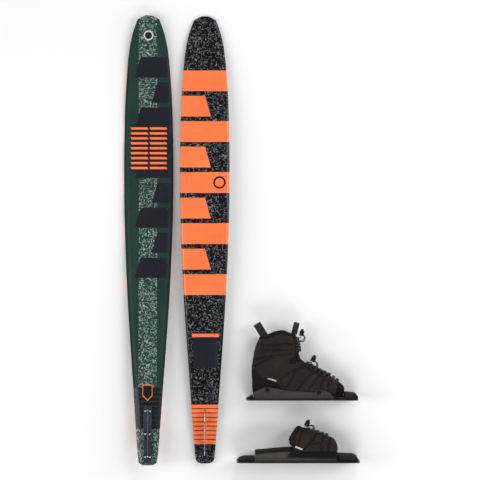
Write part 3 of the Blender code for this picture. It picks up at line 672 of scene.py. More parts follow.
def block_half_mesh(side):
    """One clamp half of the fin block: slots, recesses, a chamfer and a scale along its inner edge."""
    inner, low = FIN_THICK / 2 + GAP, FLAT_DECK_Z + GAP
    radius = BLOCK_HALF - inner
    ends = (arc((BLOCK[1] - radius, inner), radius, 0, 90, 12)
            + arc((BLOCK[0] + radius, inner), radius, 90, 180, 12))
    bm = bmesh.new()
    prism(bm, [(x, side * y) for x, y in ends], low, low + BLOCK_HEIGHT, "Z")
    top = low + BLOCK_HEIGHT
    rim = [e for e in bm.edges if all(abs(v.co.z - top) < 1e-6 for v in e.verts)]
    bmesh.ops.bevel(bm, geom=rim, offset=0.0011, segments=3, profile=0.5, affect="EDGES", material=-1)
    slots, marks = bmesh.new(), bmesh.new()
    for s in SCREW_ROWS:
        levels = (
            (0.0075, 0.0028, 0.01), (0.0075, 0.0028, top - RECESS_DEPTH),
            (0.0100, 0.0048, top - RECESS_DEPTH), (0.0100, 0.0048, top - 0.0006),
            (0.0106, 0.0054, top + 0.0002), (0.0106, 0.0054, top + 0.01),
        )
        loft(slots, [[(x, y, z) for x, y in stadium(s, side * SCREW_Y, a, b)] for a, b, z in levels])
    for i in range(21):
        s = 0.060 + 0.002 * i
        long = 0.0034 if i % 5 == 0 else 0.0022
        y0, y1 = sorted((side * (inner + 0.0014), side * (inner + 0.0014 + long)))
        prism(marks, box_outline(s, s + 0.0005, y0, y1), top - 0.0003, top + 0.01, "Z")
    return mesh_of(cut(bm, [slots, marks]), f"block_half_{side}", 30)


def screw_mesh(shank, foot, seat, head, tall, socket):
    """A button-head screw along Z with a hexagon socket, made by turning and one cut."""
    profile = [(0, foot), (shank, foot), (shank, seat), (head, seat)]
    profile += [(head * math.cos(a) ** 0.6, seat + tall * (0.25 + 0.75 * math.sin(a))) for a in
                [math.radians(12 * i) for i in range(7)]]
    profile += [(0, seat + tall)]
    hexagon = bmesh.new()
    drill(hexagon, socket, 0.02, Matrix.Translation((0, 0, seat + tall * 0.35 + 0.01)), 6)
    return mesh_of(cut(turned(profile, 28), [hexagon]), "screw")


def dress_ski(tag, made):
    place = ski_place(tag)
    body = f"ski_{tag}"

    def add(name, mesh, finish, rides, node, slot, extra=Matrix()):
        piece = show(name, mesh.copy(), finish, place @ extra)
        if node:
            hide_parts(node)
        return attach(piece, rides)

    add(f"ski_{tag}_printed_blade", made["blade"], SKI_FINISHES, body, f"{body}_blade", "ski_shell")
    add(f"ski_{tag}_inserts", made["inserts"], BRASS, body, None, "screw_steel")
    add(f"ski_{tag}_brushed_fin", made["fin"], FIN_METAL, f"{body}_fin", f"{body}_fin", "fin_metal")
    for word, side in (("left", 1), ("right", -1)):
        add(f"ski_{tag}_clamp_{word}", made[side], BLOCK_METAL, f"{body}_fin_block",
            f"{body}_fin_block_{word}", "block_black")
        for row, s in enumerate(SCREW_ROWS, start=1):
            add(f"ski_{tag}_clamp_screw_{word}_{row}", made["screw"], STEEL, body,
                f"{body}_block_screw_{word}_{row}", "screw_steel", Matrix.Translation((s, side * SCREW_Y, 0)))


def dress_skis():
    seat = FLAT_DECK_Z + BLOCK_HEIGHT - RECESS_DEPTH + 2 * GAP
    places = [Matrix.Translation((s, side * y, deck_z(s))) for s, y in INSERTS for side in (-1, 1)]
    made = {
        "blade": blade_mesh(),
        "inserts": mesh_of(copies(insert_mesh(), places), "inserts"),
        "fin": fin_mesh(),
        "screw": screw_mesh(0.0024, FLAT_DECK_Z - 0.008, seat, 0.0042, 0.0034, 0.0019),
        1: block_half_mesh(1),
        -1: block_half_mesh(-1),
    }
    for tag in "ab":
        dress_ski(tag, made)


# ---- the boot's own curves, as in the frame ----
# height, back, front, widest place, half width, squareness behind, squareness in front
BOOT_RINGS = (
    (0.0170, 0.006, 0.347, 0.245, 0.0440, 3.2, 2.2),
    (0.0300, 0.004, 0.351, 0.245, 0.0485, 3.2, 2.2),
    (0.0470, 0.002, 0.350, 0.238, 0.0490, 3.0, 2.2),
    (0.0620, 0.001, 0.336, 0.225, 0.0485, 2.8, 2.2),
    (0.0800, 0.000, 0.309, 0.190, 0.0470, 2.6, 2.0),
    (0.1000, 0.000, 0.275, 0.150, 0.0465, 2.5, 1.9),
    (0.1250, 0.002, 0.229, 0.110, 0.0470, 2.4, 1.9),
    (0.1450, 0.005, 0.192, 0.095, 0.0480, 2.3, 2.0),
    (0.1650, 0.009, 0.179, 0.092, 0.0500, 2.3, 2.1),
    (0.1900, 0.016, 0.175, 0.094, 0.0530, 2.3, 2.2),
    (0.2200, 0.027, 0.170, 0.098, 0.0575, 2.3, 2.2),
    (0.2600, 0.041, 0.158, 0.100, 0.0595, 2.3, 2.2),
)
BOOT_TABLES = [[(row[0], row[k]) for row in BOOT_RINGS] for k in range(1, 7)]
CUFF_TOP = (
    (-0.05, 0.236), (0.0535, 0.240), (0.090, 0.2535), (0.123, 0.2573), (0.153, 0.2478), (0.30, 0.2440),
)
SOLE_Z = 0.0170
WALL = 0.008
COLLAR_R = 0.004
ANKLE = (0.080, 0.110)
NOTCH = (18.0, 26.5, 35.0)
SLOT_HALF = 0.021
FACING_Y = 0.0285
FACING_WIDTH = 0.0125
FACING_THICK = 0.0018
LYING_HALF = 0.0593
RAIL = (
    (0.0095, 0.0073), (0.0095, 0.0315), (0.045, 0.0480), (0.058, 0.0510), (0.071, 0.0480), (0.126, 0.0370),
    (0.236, 0.0295), (0.244, 0.0390), (0.2528, 0.0408), (0.264, 0.0390), (0.290, 0.0310), (0.312, 0.0073),
)
RAIL_INNER = 0.0500
RAIL_THICK = 0.0032
BOLTS = ((0.058, 0.040), (0.2528, 0.0307))
PLATE_THICK = 0.0040
PLATE_HALF = 0.060
LACE_R = 0.0018
HEEL_LOOP_AT = (0.0415, 0.2500)
TONGUE_LOOP_AT = (0.1635, 0.2590)
LOWER_LOCK = (0.2290, 0.1420, 25)
UPPER_LOCK = (0.1880, 0.2390, 10)
TOE_LOCK = (0.2620, 0.1325, 28)
LOWER_LACE = (
    (0.2950, 0.0960), (0.2780, 0.1040), (0.2600, 0.1130), (0.2430, 0.1220), (0.2270, 0.1310),
    (0.2120, 0.1390),
)
UPPER_LACE = ((0.1840, 0.1860), (0.1830, 0.1970), (0.1810, 0.2080), (0.1790, 0.2190), (0.1760, 0.2300))
TOE_LACE = ((0.3430, 0.1005), (0.3260, 0.1060), (0.3090, 0.1120), (0.2920, 0.1170), (0.2750, 0.1225))
# the second strand of each lace, from the lock's cord hole back to the facing
LOWER_LACE_BACK = (
    (0.2312, 0.0000, 0.1452), (0.2385, 0.0040, 0.1440), (0.2450, 0.0070, 0.1370), (0.2468, 0.0110, 0.1270),
    (0.2440, 0.0165, 0.1215),
)
UPPER_LACE_BACK = (
    (0.1890, 0.0000, 0.2418), (0.1965, 0.0040, 0.2400), (0.1990, 0.0070, 0.2310), (0.1930, 0.0110, 0.2220),
    (0.1800, 0.0180, 0.2190),
)
TOE_LACE_BACK = (
    (0.2640, 0.0000, 0.1352), (0.2735, 0.0040, 0.1345), (0.2840, 0.0070, 0.1352), (0.2890, 0.0100, 0.1290),
    (0.2915, 0.0150, 0.1175),
)
COUNTER_EDGE = (
    (0.006, 0.122), (0.0135, 0.116), (0.0407, 0.0857), (0.062, 0.0800), (0.0912, 0.0711), (0.1217, 0.0420),
)
QUILT_SEAMS = (
    ((0.036, 0.2105), (0.060, 0.2085), (0.089, 0.2067), (0.125, 0.2110), (0.150, 0.2075)),
    ((0.014, 0.1545), (0.0256, 0.1550), (0.077, 0.1670), (0.107, 0.1700), (0.150, 0.1730)),
    ((0.008, 0.1260), (0.0256, 0.1340), (0.050, 0.1490), (0.077, 0.1600), (0.095, 0.1690)),
    ((0.1065, 0.0800), (0.1435, 0.1040), (0.180, 0.1190), (0.206, 0.1255)),
    ((0.1217, 0.0420), (0.1130, 0.0640), (0.1065, 0.0800)),
    ((0.1250, 0.0410), (0.1440, 0.0700), (0.1600, 0.0990), (0.1690, 0.1140)),
    ((0.1690, 0.0360), (0.1910, 0.0640), (0.2150, 0.0900), (0.2290, 0.1030)),
    ((0.2130, 0.0330), (0.2260, 0.0600), (0.2520, 0.0900)),
    ((0.2600, 0.0450), (0.2620, 0.0640), (0.2720, 0.0830)),
    ((0.2870, 0.0360), (0.2860, 0.0540), (0.2940, 0.0720)),
    ((0.0430, 0.1870), (0.085, 0.1880), (0.150, 0.1900)),
)


@functools.lru_cache(maxsize=None)
def boot_row(z):
    return [smooth_value(table, z) for table in BOOT_TABLES]


def side_width(x, z):
    back, front, wide_at, half, rear_power, front_power = boot_row(z)
    reach, power = (front - wide_at, front_power) if x >= wide_at else (wide_at - back, rear_power)
    return half * (1 - min(abs(x - wide_at) / reach, 0.9995) ** power) ** (1 / power)


def boot_side(x, z, side=1):
    """A point of the boot's side from its place in the side view, and its outward normal."""
    y, e = side_width(x, z), 0.0008
    slope_x = (side_width(x - e, z) - side_width(x + e, z)) / (2 * e)
    slope_z = (side_width(x, z - e) - side_width(x, z + e)) / (2 * e)
    return Vector((x, side * y, z)), Vector((slope_x, side, slope_z)).normalized()


def boot_front(y, z):
    """A point of the boot's front and its outward normal, from its distance off the middle and its height."""
    def reach_at(y, z):
        back, front, wide_at, half, rear_power, power = boot_row(z)
        return wide_at + (front - wide_at) * (1 - min(abs(y) / half, 0.9995) ** power) ** (1 / power)

    e = 0.0008
    slope_y = (reach_at(y - e, z) - reach_at(y + e, z)) / (2 * e)
    slope_z = (reach_at(y, z - e) - reach_at(y, z + e)) / (2 * e)
    return Vector((reach_at(y, z), y, z)), Vector((1, slope_y, slope_z)).normalized()


def even_ring(z, count, inset=0.0):
    """A level outline of the boot with evenly spaced points, the first at the middle of the front."""
    back, front, wide_at, half, rear_power, front_power = boot_row(z)
    dense = []
    for i in range(361):
        c, s = math.cos(math.pi * i / 180), math.sin(math.pi * i / 180)
        power, reach = ((front_power, front - inset - wide_at) if c >= 0
                        else (rear_power, wide_at - back - inset))
        dense.append(Vector((wide_at + math.copysign(abs(c) ** (2 / power), c) * reach,
                             math.copysign(abs(s) ** (2 / power), s) * (half - inset), z)))
    lengths = [0.0]
    for a, b in zip(dense, dense[1:]):
        lengths.append(lengths[-1] + (b - a).length)
    ring, k = [], 0
    for i in range(count):
        goal = lengths[-1] * i / count
        while lengths[k + 1] < goal:
            k += 1
        t = (goal - lengths[k]) / max(lengths[k + 1] - lengths[k], 1e-9)
        ring.append(dense[k].lerp(dense[k + 1], t))
    return ring


# ---- tools for soft goods ----
def sweep(bm, route, normals, section):
    """A closed section of (across, out) pairs carried along a route, square to the outward normals.

    Each point keeps how far along and how far round the section it lies, for weaves that follow the piece."""
    along = bm.verts.layers.float_vector.get("along") or bm.verts.layers.float_vector.new("along")
    travelled, rings = 0.0, []
    for i, p in enumerate(route):
        tangent = (route[min(i + 1, len(route) - 1)] - route[max(i - 1, 0)]).normalized()
        out = (normals[i] - tangent * normals[i].dot(tangent)).normalized()
        across = tangent.cross(out)
        travelled += (p - route[i - 1]).length if i else 0.0
        rings.append((travelled, [p + across * a + out * b for a, b in section]))
    first = ring = start_ring(bm, rings[0][1])
    made = [first]
    for _, places in rings[1:]:
        ring = next_ring(bm, ring, places)
        made.append(ring)
    faces = [bm.faces.new(first), bm.faces.new(ring)]
    for (travelled, _), verts in zip(rings, made):
        for k, v in enumerate(verts):
            v[along] = (travelled, k / len(verts), 0)
    faces += [f for verts in made for v in verts for f in v.link_faces]
    bmesh.ops.recalc_face_normals(bm, faces=list(set(faces)))


def band(width, thick, sink=0.0004, steps=3):
    """The section of a flat band with round edges, sunk a little into what it lies on."""
    r, run = thick / 2, width / 2 - thick / 2
    right = arc((run, r), r, -90, 90, 2 * steps)
    return [(a, b - sink) for a, b in right + arc((-run, r), r, 90, 270, 2 * steps)]


def cord(radius, sides=10):
    return arc((0, 0), radius, 0, 360 - 360 / sides, sides - 1)


def twin(points):
    """The other strand of a cord's free end: mirrored, and a little fuller in the middle."""
    (x0, _, z0), last = points[0], len(points) - 1
    grow = [1 + 0.28 * math.sin(math.pi * k / last) for k in range(last + 1)]
    return [(x0 + (x - x0) * g, -y, z0 + (z - z0) * g) for g, (x, y, z) in zip(grow, points)]


def cord_along(bm, points, steps, radius, out=(1, 0, 0.5)):
    route = smooth_route(points, steps)
    sweep(bm, route, [Vector(out).normalized()] * len(route), cord(radius))


def side_route(places, side, steps=8):
    """A route on the boot's side through places of the side view, with its normals."""
    flat = smooth_route([(x, 0, z) for x, z in places], steps)
    found = [boot_side(p.x, p.z, side) for p in flat]
    return [p for p, n in found], [n for p, n in found]


def stitches(bm, route, normals, spacing=0.0036, lift=0.0003, aside=0.0):
    """A row of thread stitches: short round dashes that dip into the cloth at both ends."""
    left, row = 0.0, bmesh.new()
    for i in range(1, len(route)):
        a, b = route[i - 1], route[i]
        run = b - a
        while left < run.length:
            at = a + run.normalized() * left
            out, ahead = normals[i], run.normalized()
            shift = ahead.cross(out).normalized() * aside
            dash = [at + shift + ahead * (spacing * 0.62 * t)
                    + out * (lift * (1 - (2 * t - 1) ** 2) * 2 - 0.0001)
                    for t in (0.0, 0.25, 0.75, 1.0)]
            sweep(row, dash, [out] * 4, cord(0.00036, 5))
            left += spacing
        left -= run.length
    mesh = bpy.data.meshes.new("stitch_row")
    row.to_mesh(mesh)
    row.free()
    bm.from_mesh(mesh)
    bpy.data.meshes.remove(mesh)


def inflate(mesh, sewn, pressure, reach, slack=-0.04, frames=12):
    """Blows the mesh up as cloth sewn down at some points. No point moves further than its own reach."""
    start = [v.co.copy() for v in mesh.vertices]
    made = bpy.data.objects.new("puffing", mesh)
    bpy.context.scene.collection.objects.link(made)
    group = made.vertex_groups.new(name="sewn")
    group.add(sewn, 1.0, "REPLACE")
    puff = made.modifiers.new("puff", "CLOTH")
    cloth = puff.settings
    cloth.quality = 4
    cloth.mass = 0.15
    cloth.tension_stiffness = cloth.compression_stiffness = 12
    cloth.shear_stiffness = 6
    cloth.bending_stiffness = 0.15
    cloth.shrink_min = slack
    cloth.use_pressure = True
    cloth.uniform_pressure_force = pressure
    cloth.vertex_group_mass = "sewn"
    cloth.effector_weights.gravity = 0
    puff.collision_settings.use_collision = False
    puff.point_cache.frame_start = 1
    puff.point_cache.frame_end = frames
    for step in range(1, frames + 1):
        bpy.context.scene.frame_set(step)
    puffed = made.evaluated_get(bpy.context.evaluated_depsgraph_get()).to_mesh()
    moved = [v.co.copy() for v in puffed.vertices]
    bpy.data.objects.remove(made)
    bpy.context.scene.frame_set(1)
    for v, a, b, far in zip(mesh.vertices, start, moved, reach):
        step = b - a
        limit = max(far, 1e-6)
        v.co = a + step * (limit * math.tanh(step.length / limit) / max(step.length, 1e-9))
        v.co.y = math.copysign(min(abs(v.co.y), LYING_HALF), v.co.y)


def off_lines(places, lines):
    """How far each (x, z) place lies from the nearest of some polylines."""
    at = np.array(places)
    nearest = np.full(len(at), 1.0)
    for line in lines:
        for a, b in zip(line, line[1:]):
            a, run = np.array(a), np.array(b) - np.array(a)
            t = np.clip(((at - a) @ run) / max(run @ run, 1e-12), 0, 1)
            nearest = np.minimum(nearest, np.linalg.norm(at - (a + t[:, None] * run), axis=1))
    return nearest


def mark_seams(mesh, lines, spread=0.0036):
    """Stores on each point how near it is to a seam: 1 in the seam and 0 away from it. The quilt finish
    paints shade along the seams from it.
    """
    gap = off_lines([(v.co.x, v.co.z) for v in mesh.vertices], [smooth_line(line) for line in lines])
    near = mesh.attributes.new("seam", "FLOAT", "POINT")
    near.data.foreach_set("value", [math.exp(-(g / spread) ** 2) for g in gap])
    return mesh


def smooth_line(places, steps=8):
    return [(p.x, p.z) for p in smooth_route([(x, 0, z) for x, z in places], steps)]


# ---- soft finishes ----
def ripstop(name, colour, roughness=0.62, weave=2400.0, depth=0.00010):
    """Fine woven nylon: threads both ways, a coarser ripstop grid, slow shading from wear, and painted shade
    along the quilting seams.
    """
    f = Finish(name, colour, roughness, Sheen_Weight=0.02, Sheen_Roughness=0.5, Specular_IOR_Level=0.10)
    grid = f.maths("MULTIPLY", f.waves(weave / 6.283, "X", 0.4), f.waves(weave / 6.283, "Y", 0.4))
    coarse = f.maths("MAXIMUM", f.span(f.waves(58.0, "X"), 0.94, 1.0), f.span(f.waves(58.0, "Y"), 0.94, 1.0))
    cloud = f.span(f.noise(22.0, 4.0), 0.3, 0.7)
    tone = f.mix(cloud, tinted(colour, 0.78), tinted(colour, 1.28))
    cloth = f.mix(f.maths("MULTIPLY", coarse, 0.12), tone, tinted(colour, 1.7))
    # painted shade: the colour falls to a tenth within a few mm of each quilting seam, for the shade in the
    # sewn groove
    f.set("Base Color", f.mix(f.maths("MULTIPLY", f.own("seam"), 0.85), cloth, tinted(colour, 0.10)))
    f.set("Roughness", f.span(f.noise(60.0, 3.0), 0.3, 0.7, roughness - 0.06, roughness + 0.10))
    crease = f.noise(75.0, 5.0, distortion=0.6)
    f.bump(f.maths("ADD", f.maths("MULTIPLY", crease, 3.0), f.maths("MULTIPLY", grid, 0.6)), depth * 4, 0.7)
    return f.material


def grained(name, colour, roughness, scale, depth):
    """Coated or foamed stuff with small round cells."""
    f = Finish(name, colour, roughness, Specular_IOR_Level=0.10)
    cell = f.cells(scale)
    tone = f.span(f.noise(30.0, 4.0), 0.3, 0.7)
    f.set("Base Color", f.mix(tone, tinted(colour, 0.80), tinted(colour, 1.25)))
    f.set("Roughness", f.span(f.noise(90.0, 3.0), 0.3, 0.7, roughness - 0.06, roughness + 0.07))
    f.bump(f.maths("ADD", cell, f.maths("MULTIPLY", f.noise(scale * 0.6, 3.0), 0.5)), depth, 0.8)
    return f.material


def knitted(name, colour, ribs, direction):
    f = Finish(name, colour, 0.88, Sheen_Weight=0.06, Sheen_Roughness=0.6, Specular_IOR_Level=0.10)
    rib = f.waves(ribs, direction, 0.6)
    f.set("Base Color", f.mix(rib, tinted(colour, 0.55), tinted(colour, 1.35)))
    f.set("Roughness", f.span(f.noise(200.0, 2.0), 0.3, 0.7, 0.80, 0.95))
    f.bump(rib, 0.0006, 0.7)
    return f.material


def woven(name, colour, across, step, roughness=0.75):
    """Webbing and braid: threads that follow each band or cord along its own length."""
    f = Finish(name, colour, roughness, Sheen_Weight=0.15)
    split = f.node("ShaderNodeSeparateXYZ", Vector=f.own("along"))
    run, turn = split.outputs["X"], split.outputs["Y"]

    def slanted(sign):
        phase = f.maths("ADD", f.maths("MULTIPLY", run, 6.283 / step),
                        f.maths("MULTIPLY", turn, sign * 6.283 * across))
        return f.span(f.maths("SINE", phase), -1.0, 1.0)

    threads = f.maths("MAXIMUM", slanted(1.0), slanted(-1.0))
    f.set("Base Color", f.mix(threads, tinted(colour, 0.45), tinted(colour, 1.5)))
    f.set("Roughness", f.span(f.noise(150.0, 2.0), 0.3, 0.7, roughness - 0.05, roughness + 0.08))
    f.bump(threads, 0.00035, 0.8)
    return f.material


def moulded(name, colour, roughness, metallic=0.0, grain=420.0, depth=0.00008, stretch=(1, 1, 1)):
    """Moulded plastic or coated metal with a fine even texture and faint handling marks."""
    f = Finish(name, colour, roughness, metallic)
    tone = f.span(f.noise(18.0, 3.0), 0.3, 0.7)
    f.set("Base Color", f.mix(tone, tinted(colour, 0.86), tinted(colour, 1.16)))
    wear = f.noise(70.0, 4.0, stretch=stretch)
    f.set("Roughness", f.span(wear, 0.3, 0.7, roughness - 0.06, roughness + 0.08))
    f.bump(f.noise(grain, 3.0, stretch=stretch), depth, 0.5)
    return f.material


QUILT = ripstop("quilt_nylon", (0.0215, 0.0152, 0.0132), 0.72)
QUILT_DARK = ripstop("quilt_nylon_dark", (0.0090, 0.0066, 0.0058), 0.72)
COUNTER = grained("counter_synthetic", (0.0075, 0.0055, 0.0047), 0.66, 900.0, 0.00020)
NEOPRENE = grained("neoprene", (0.0072, 0.0056, 0.0050), 0.80, 1500.0, 0.00012)
LINING = knitted("lining_knit", (0.0200, 0.0185, 0.0180), 260.0, "Z")
GUSSET = knitted("gusset_knit", (0.0040, 0.0035, 0.0032), 150.0, "Z")
EVA = grained("eva_foam", (0.0190, 0.0150, 0.0136), 0.78, 700.0, 0.00025)
EVA_RIBBED = grained("eva_foam_top", (0.0120, 0.0105, 0.0100), 0.82, 500.0, 0.00035)
WEBBING = woven("webbing", (0.0130, 0.0115, 0.0105), 4.0, 0.0016)
PIPING = woven("seam_tape", (0.0090, 0.0082, 0.0078), 3.0, 0.0010, 0.7)
LACE = woven("lace_braid", (0.0180, 0.0165, 0.0155), 4.0, 0.0022, 0.6)
THREAD = woven("thread", (0.0340, 0.0300, 0.0280), 2.0, 0.0006, 0.6)
TAB = woven("tab_pale", (0.4300, 0.4100, 0.4000), 5.0, 0.0012, 0.7)
RAIL_METAL = moulded("rail_satin", (0.0500, 0.0400, 0.0365), 0.40, 0.35, 600.0, 0.00005, (0.06, 1, 1))
RISER = moulded("riser_satin", (0.0600, 0.0510, 0.0470), 0.36, 0.10, 300.0, 0.00006)
PLATE = moulded("plate_dark", (0.0120, 0.0105, 0.0100), 0.42, 0.30, 350.0, 0.00010)
LOCK = moulded("lock_plastic", (0.0110, 0.0102, 0.0100), 0.34, 0.0, 500.0, 0.00006)
BOLT = moulded("bolt_black", (0.0130, 0.0120, 0.0118), 0.30, 0.75, 700.0, 0.00004)


# ---- front boot ----
def ray(angle, reach):
    a = math.radians(angle)
    return (ANKLE[0] + reach * math.cos(a), ANKLE[1] + reach * math.sin(a))


def height_on(line, x):
    """Height of a line of (x, z) points at a place between its ends."""
    return next(za + (zb - za) * (x - xa) / (xb - xa)
                for (xa, za), (xb, zb) in zip(line, line[1:]) if xa <= x <= xb)


def rail_top(x):
    """Height of the rail beside the boot, or of the sole where there is no rail."""
    upper = RAIL[1:-1]
    if not upper[0][0] <= x <= upper[-1][0]:
        return SOLE_Z
    return height_on(upper, x)


def below_counter(x, z):
    """Whether a place in the side view lies on the heel counter."""
    line = COUNTER_EDGE
    if x >= line[-1][0]:
        return False
    if x <= line[0][0]:
        return z < line[0][1]
    return z < height_on(line, x)


def boot_shell():
    """The padded wall as one closed body: outer face, rolled collar and inner face, before any cut."""
    count, rows, step = 300, 104, 0.002
    levels = [even_ring(SOLE_Z + step * k, count) for k in range(int((0.262 - SOLE_Z) / step) + 1)]

    def at(i, z):
        k = min(int((z - SOLE_Z) / step), len(levels) - 2)
        return levels[k][i].lerp(levels[k + 1][i], (z - SOLE_Z) / step - k)

    top = [smooth_value(CUFF_TOP, p.x) for p in even_ring(0.25, count)]

    def ring(rise, inset, lift):
        places = [at(i, SOLE_Z + rise * (top[i] - COLLAR_R - SOLE_Z)) for i in range(count)]
        made = []
        for i, p in enumerate(places):
            run = places[(i + 1) % count] - places[i - 1]
            made.append(p - Vector((run.y, -run.x, 0)).normalized() * inset + Vector((0, 0, lift)))
        return made

    outer = [ring(k / rows, 0.0, 0.0) for k in range(rows + 1)]
    roll = [ring(1.0, COLLAR_R * (1 - math.cos(a)), COLLAR_R * math.sin(a))
            for a in [math.radians(180 * k / 8) for k in range(1, 8)]]
    inner = [ring(1 - k / 16 * 0.945, WALL, 0.0) for k in range(17)]
    bm = bmesh.new()
    loft(bm, outer + roll + inner)
    return bm, len(outer) * count


def puffed_boot():
    """The shell blown up between its seams. The sole, the rail seats and the lacing edges stay down."""
    bm, outside = boot_shell()
    mesh = mesh_of(bm, "boot_shell", 60)
    places = [(v.co.x, v.co.z) for v in mesh.vertices]
    seams = [smooth_line(line) for line in QUILT_SEAMS] + [smooth_line(COUNTER_EDGE)]
    gap = off_lines(places, seams)
    normals = [v.normal.copy() for v in mesh.vertices]
    sewn, reach = [], []
    for i, v in enumerate(mesh.vertices):
        x, y, z = v.co
        stiff = z < 0.022 or (abs(y) > 0.030 and z < rail_top(x) + 0.002) or i >= outside + 2400
        laced = abs(y) < SLOT_HALF + 0.010 and x > 0.135 and i < outside
        if i >= outside or stiff or laced or gap[i] < 0.0013:
            sewn.append(i)
        far = 0.0012 if below_counter(x, z) else 0.0048
        near_rail = min(1.0, max(0.15, (z - rail_top(x)) / 0.012)) if abs(y) > 0.030 else 1.0
        reach.append(far * near_rail)
        if i < outside and not stiff:
            ripple = noise.noise(v.co * 55.0) * 0.0007 + noise.noise(v.co * 140.0) * 0.0003
            groove = 0.0020 * math.exp(-(gap[i] / 0.0026) ** 2)
            v.co += normals[i] * ((ripple if gap[i] > 0.002 and not laced else 0.0) - groove) * near_rail
    inflate(mesh, sewn, 9.0, reach)
    return mesh


def boot_cutters():
    """The lacing slot, the shallow flex notch at the ankle, and the toe opening."""
    slot, notch, floor, toe = (bmesh.new() for _ in range(4))
    front = arc((0.300 - SLOT_HALF * 0.6, 0), SLOT_HALF, -90, 90, 16)
    front = [(0.300 - SLOT_HALF * 0.6 + (x - 0.300 + SLOT_HALF * 0.6) * 0.6, y) for x, y in front]
    prism(slot, [(0.105, -SLOT_HALF)] + front + [(0.105, SLOT_HALF)], 0.068, 0.30, "Z")
    low, middle, high = NOTCH
    wedge = [ray(low, 0.20), ray(low, 0.078), ray(middle, 0.064), ray(high, 0.078), ray(high, 0.20)]
    prism(notch, [tuple(p) for p in rounded(wedge, 0.006, 4)], -0.08, 0.08)
    loft(floor, [even_ring(0.112 + 0.008 * k, 120, 0.0035) for k in range(16)])
    notch = cut(notch, [floor])
    plane = [(0.3306, 0.10), (0.3044, 0.0), (0.42, 0.0), (0.42, 0.16), (0.3463, 0.16)]
    prism(toe, plane, -0.1, 0.1)
    return [slot, notch, toe]


def in_notch(x, z):
    angle = math.degrees(math.atan2(z - ANKLE[1], x - ANKLE[0]))
    return NOTCH[0] - 0.4 < angle < NOTCH[2] + 0.4 and math.hypot(x - ANKLE[0], z - ANKLE[1]) > 0.062


def boot_upper_mesh():
    source = bmesh.new()
    source.from_mesh(puffed_boot())
    bm = cut(source, boot_cutters())
    for f in bm.faces:
        c = f.calc_center_median()
        width = side_width(c.x, min(max(c.z, SOLE_Z), 0.26)) if 0.0 < c.x < 0.345 else 0.0
        skin = abs(c.y) > width - 0.0028 or c.x < 0.004 + max(0.0, (c.z - 0.15) * 0.38)
        top = smooth_value(CUFF_TOP, c.x)
        facing_in = (c.x - 0.12) * f.normal.x + c.y * f.normal.y < 0
        f.material_index = 0
        if c.z > top - 0.009:
            f.material_index = 2
        elif facing_in and f.normal.z > -0.5 and c.z > 0.024:
            f.material_index = 3
        elif in_notch(c.x, c.z) and not skin and c.x < 0.19:
            f.material_index = 4
        elif below_counter(c.x, c.z):
            f.material_index = 1
    # the seam marks drive the painted seam shade of the quilt finish
    return mark_seams(mesh_of(bm, "boot_upper", 50), QUILT_SEAMS)


def tongue_mesh():
    """The padded tongue in the lacing slot, from the toe up past the collar, with channels across it."""
    bm = bmesh.new()
    rings, half = [], SLOT_HALF - 0.0008
    start, end = 0.0835, 0.2500
    for k in range(111):
        z = start + (end - start) * k / 110
        crown = 0.0022 * abs(math.sin(math.pi * (k / 110) * 9.5)) ** 0.6 + 0.0004
        fade = min(1.0, k / 3, (110 - k) / 3) ** 0.5
        outer, inner = [], []
        for j in range(17):
            y = half * (2 * j / 16 - 1)
            p, n = boot_front(y, z)
            edge = 1 - abs(2 * j / 16 - 1) ** 6
            proud = 0.0058 if z < 0.132 else 0.0036 + 0.0030 * min(1.0, max(0.0, (z - 0.168) / 0.012))
            outer.append(p - n * (0.0048 - (crown + proud) * edge) - n * 0.003 * (1 - fade))
            inner.append(p - n * (0.0105 - 0.0015 * (1 - edge)) + n * 0.002 * (1 - fade))
        rings.append(outer + inner[::-1])
    lift = [Vector((-0.0008, 0, 0.0035)), Vector((-0.0018, 0, 0.0062))]
    for k, rise in enumerate(lift):
        middle = sum(rings[110], Vector()) / len(rings[110])
        rings.append([middle + (p - middle) * (0.94, 0.72)[k] + rise for p in rings[110]])
    loft(bm, rings)
    return mesh_of(bm, "tongue", 60)


def toe_liner_mesh():
    """The smooth neoprene toe, closed behind where it runs under the shell's front edge."""
    bm = bmesh.new()
    loft(bm, [even_ring(SOLE_Z + 0.0003 + 0.0026 * k, 240, 0.0012) for k in range(23)])
    for v in bm.verts:
        v.co += v.normal * noise.noise(v.co * 45.0) * 0.0008
    normal = Vector((-0.10, 0, 0.0262)).normalized()
    made = bmesh.ops.bisect_plane(bm, geom=[*bm.verts, *bm.edges, *bm.faces], plane_co=(0.3052, 0, 0.0),
                                  plane_no=normal, clear_outer=True)["geom_cut"]
    bmesh.ops.contextual_create(bm, geom=[g for g in made if isinstance(g, bmesh.types.BMEdge)])
    bmesh.ops.recalc_face_normals(bm, faces=bm.faces)
    return mesh_of(bm, "toe_liner", 50)


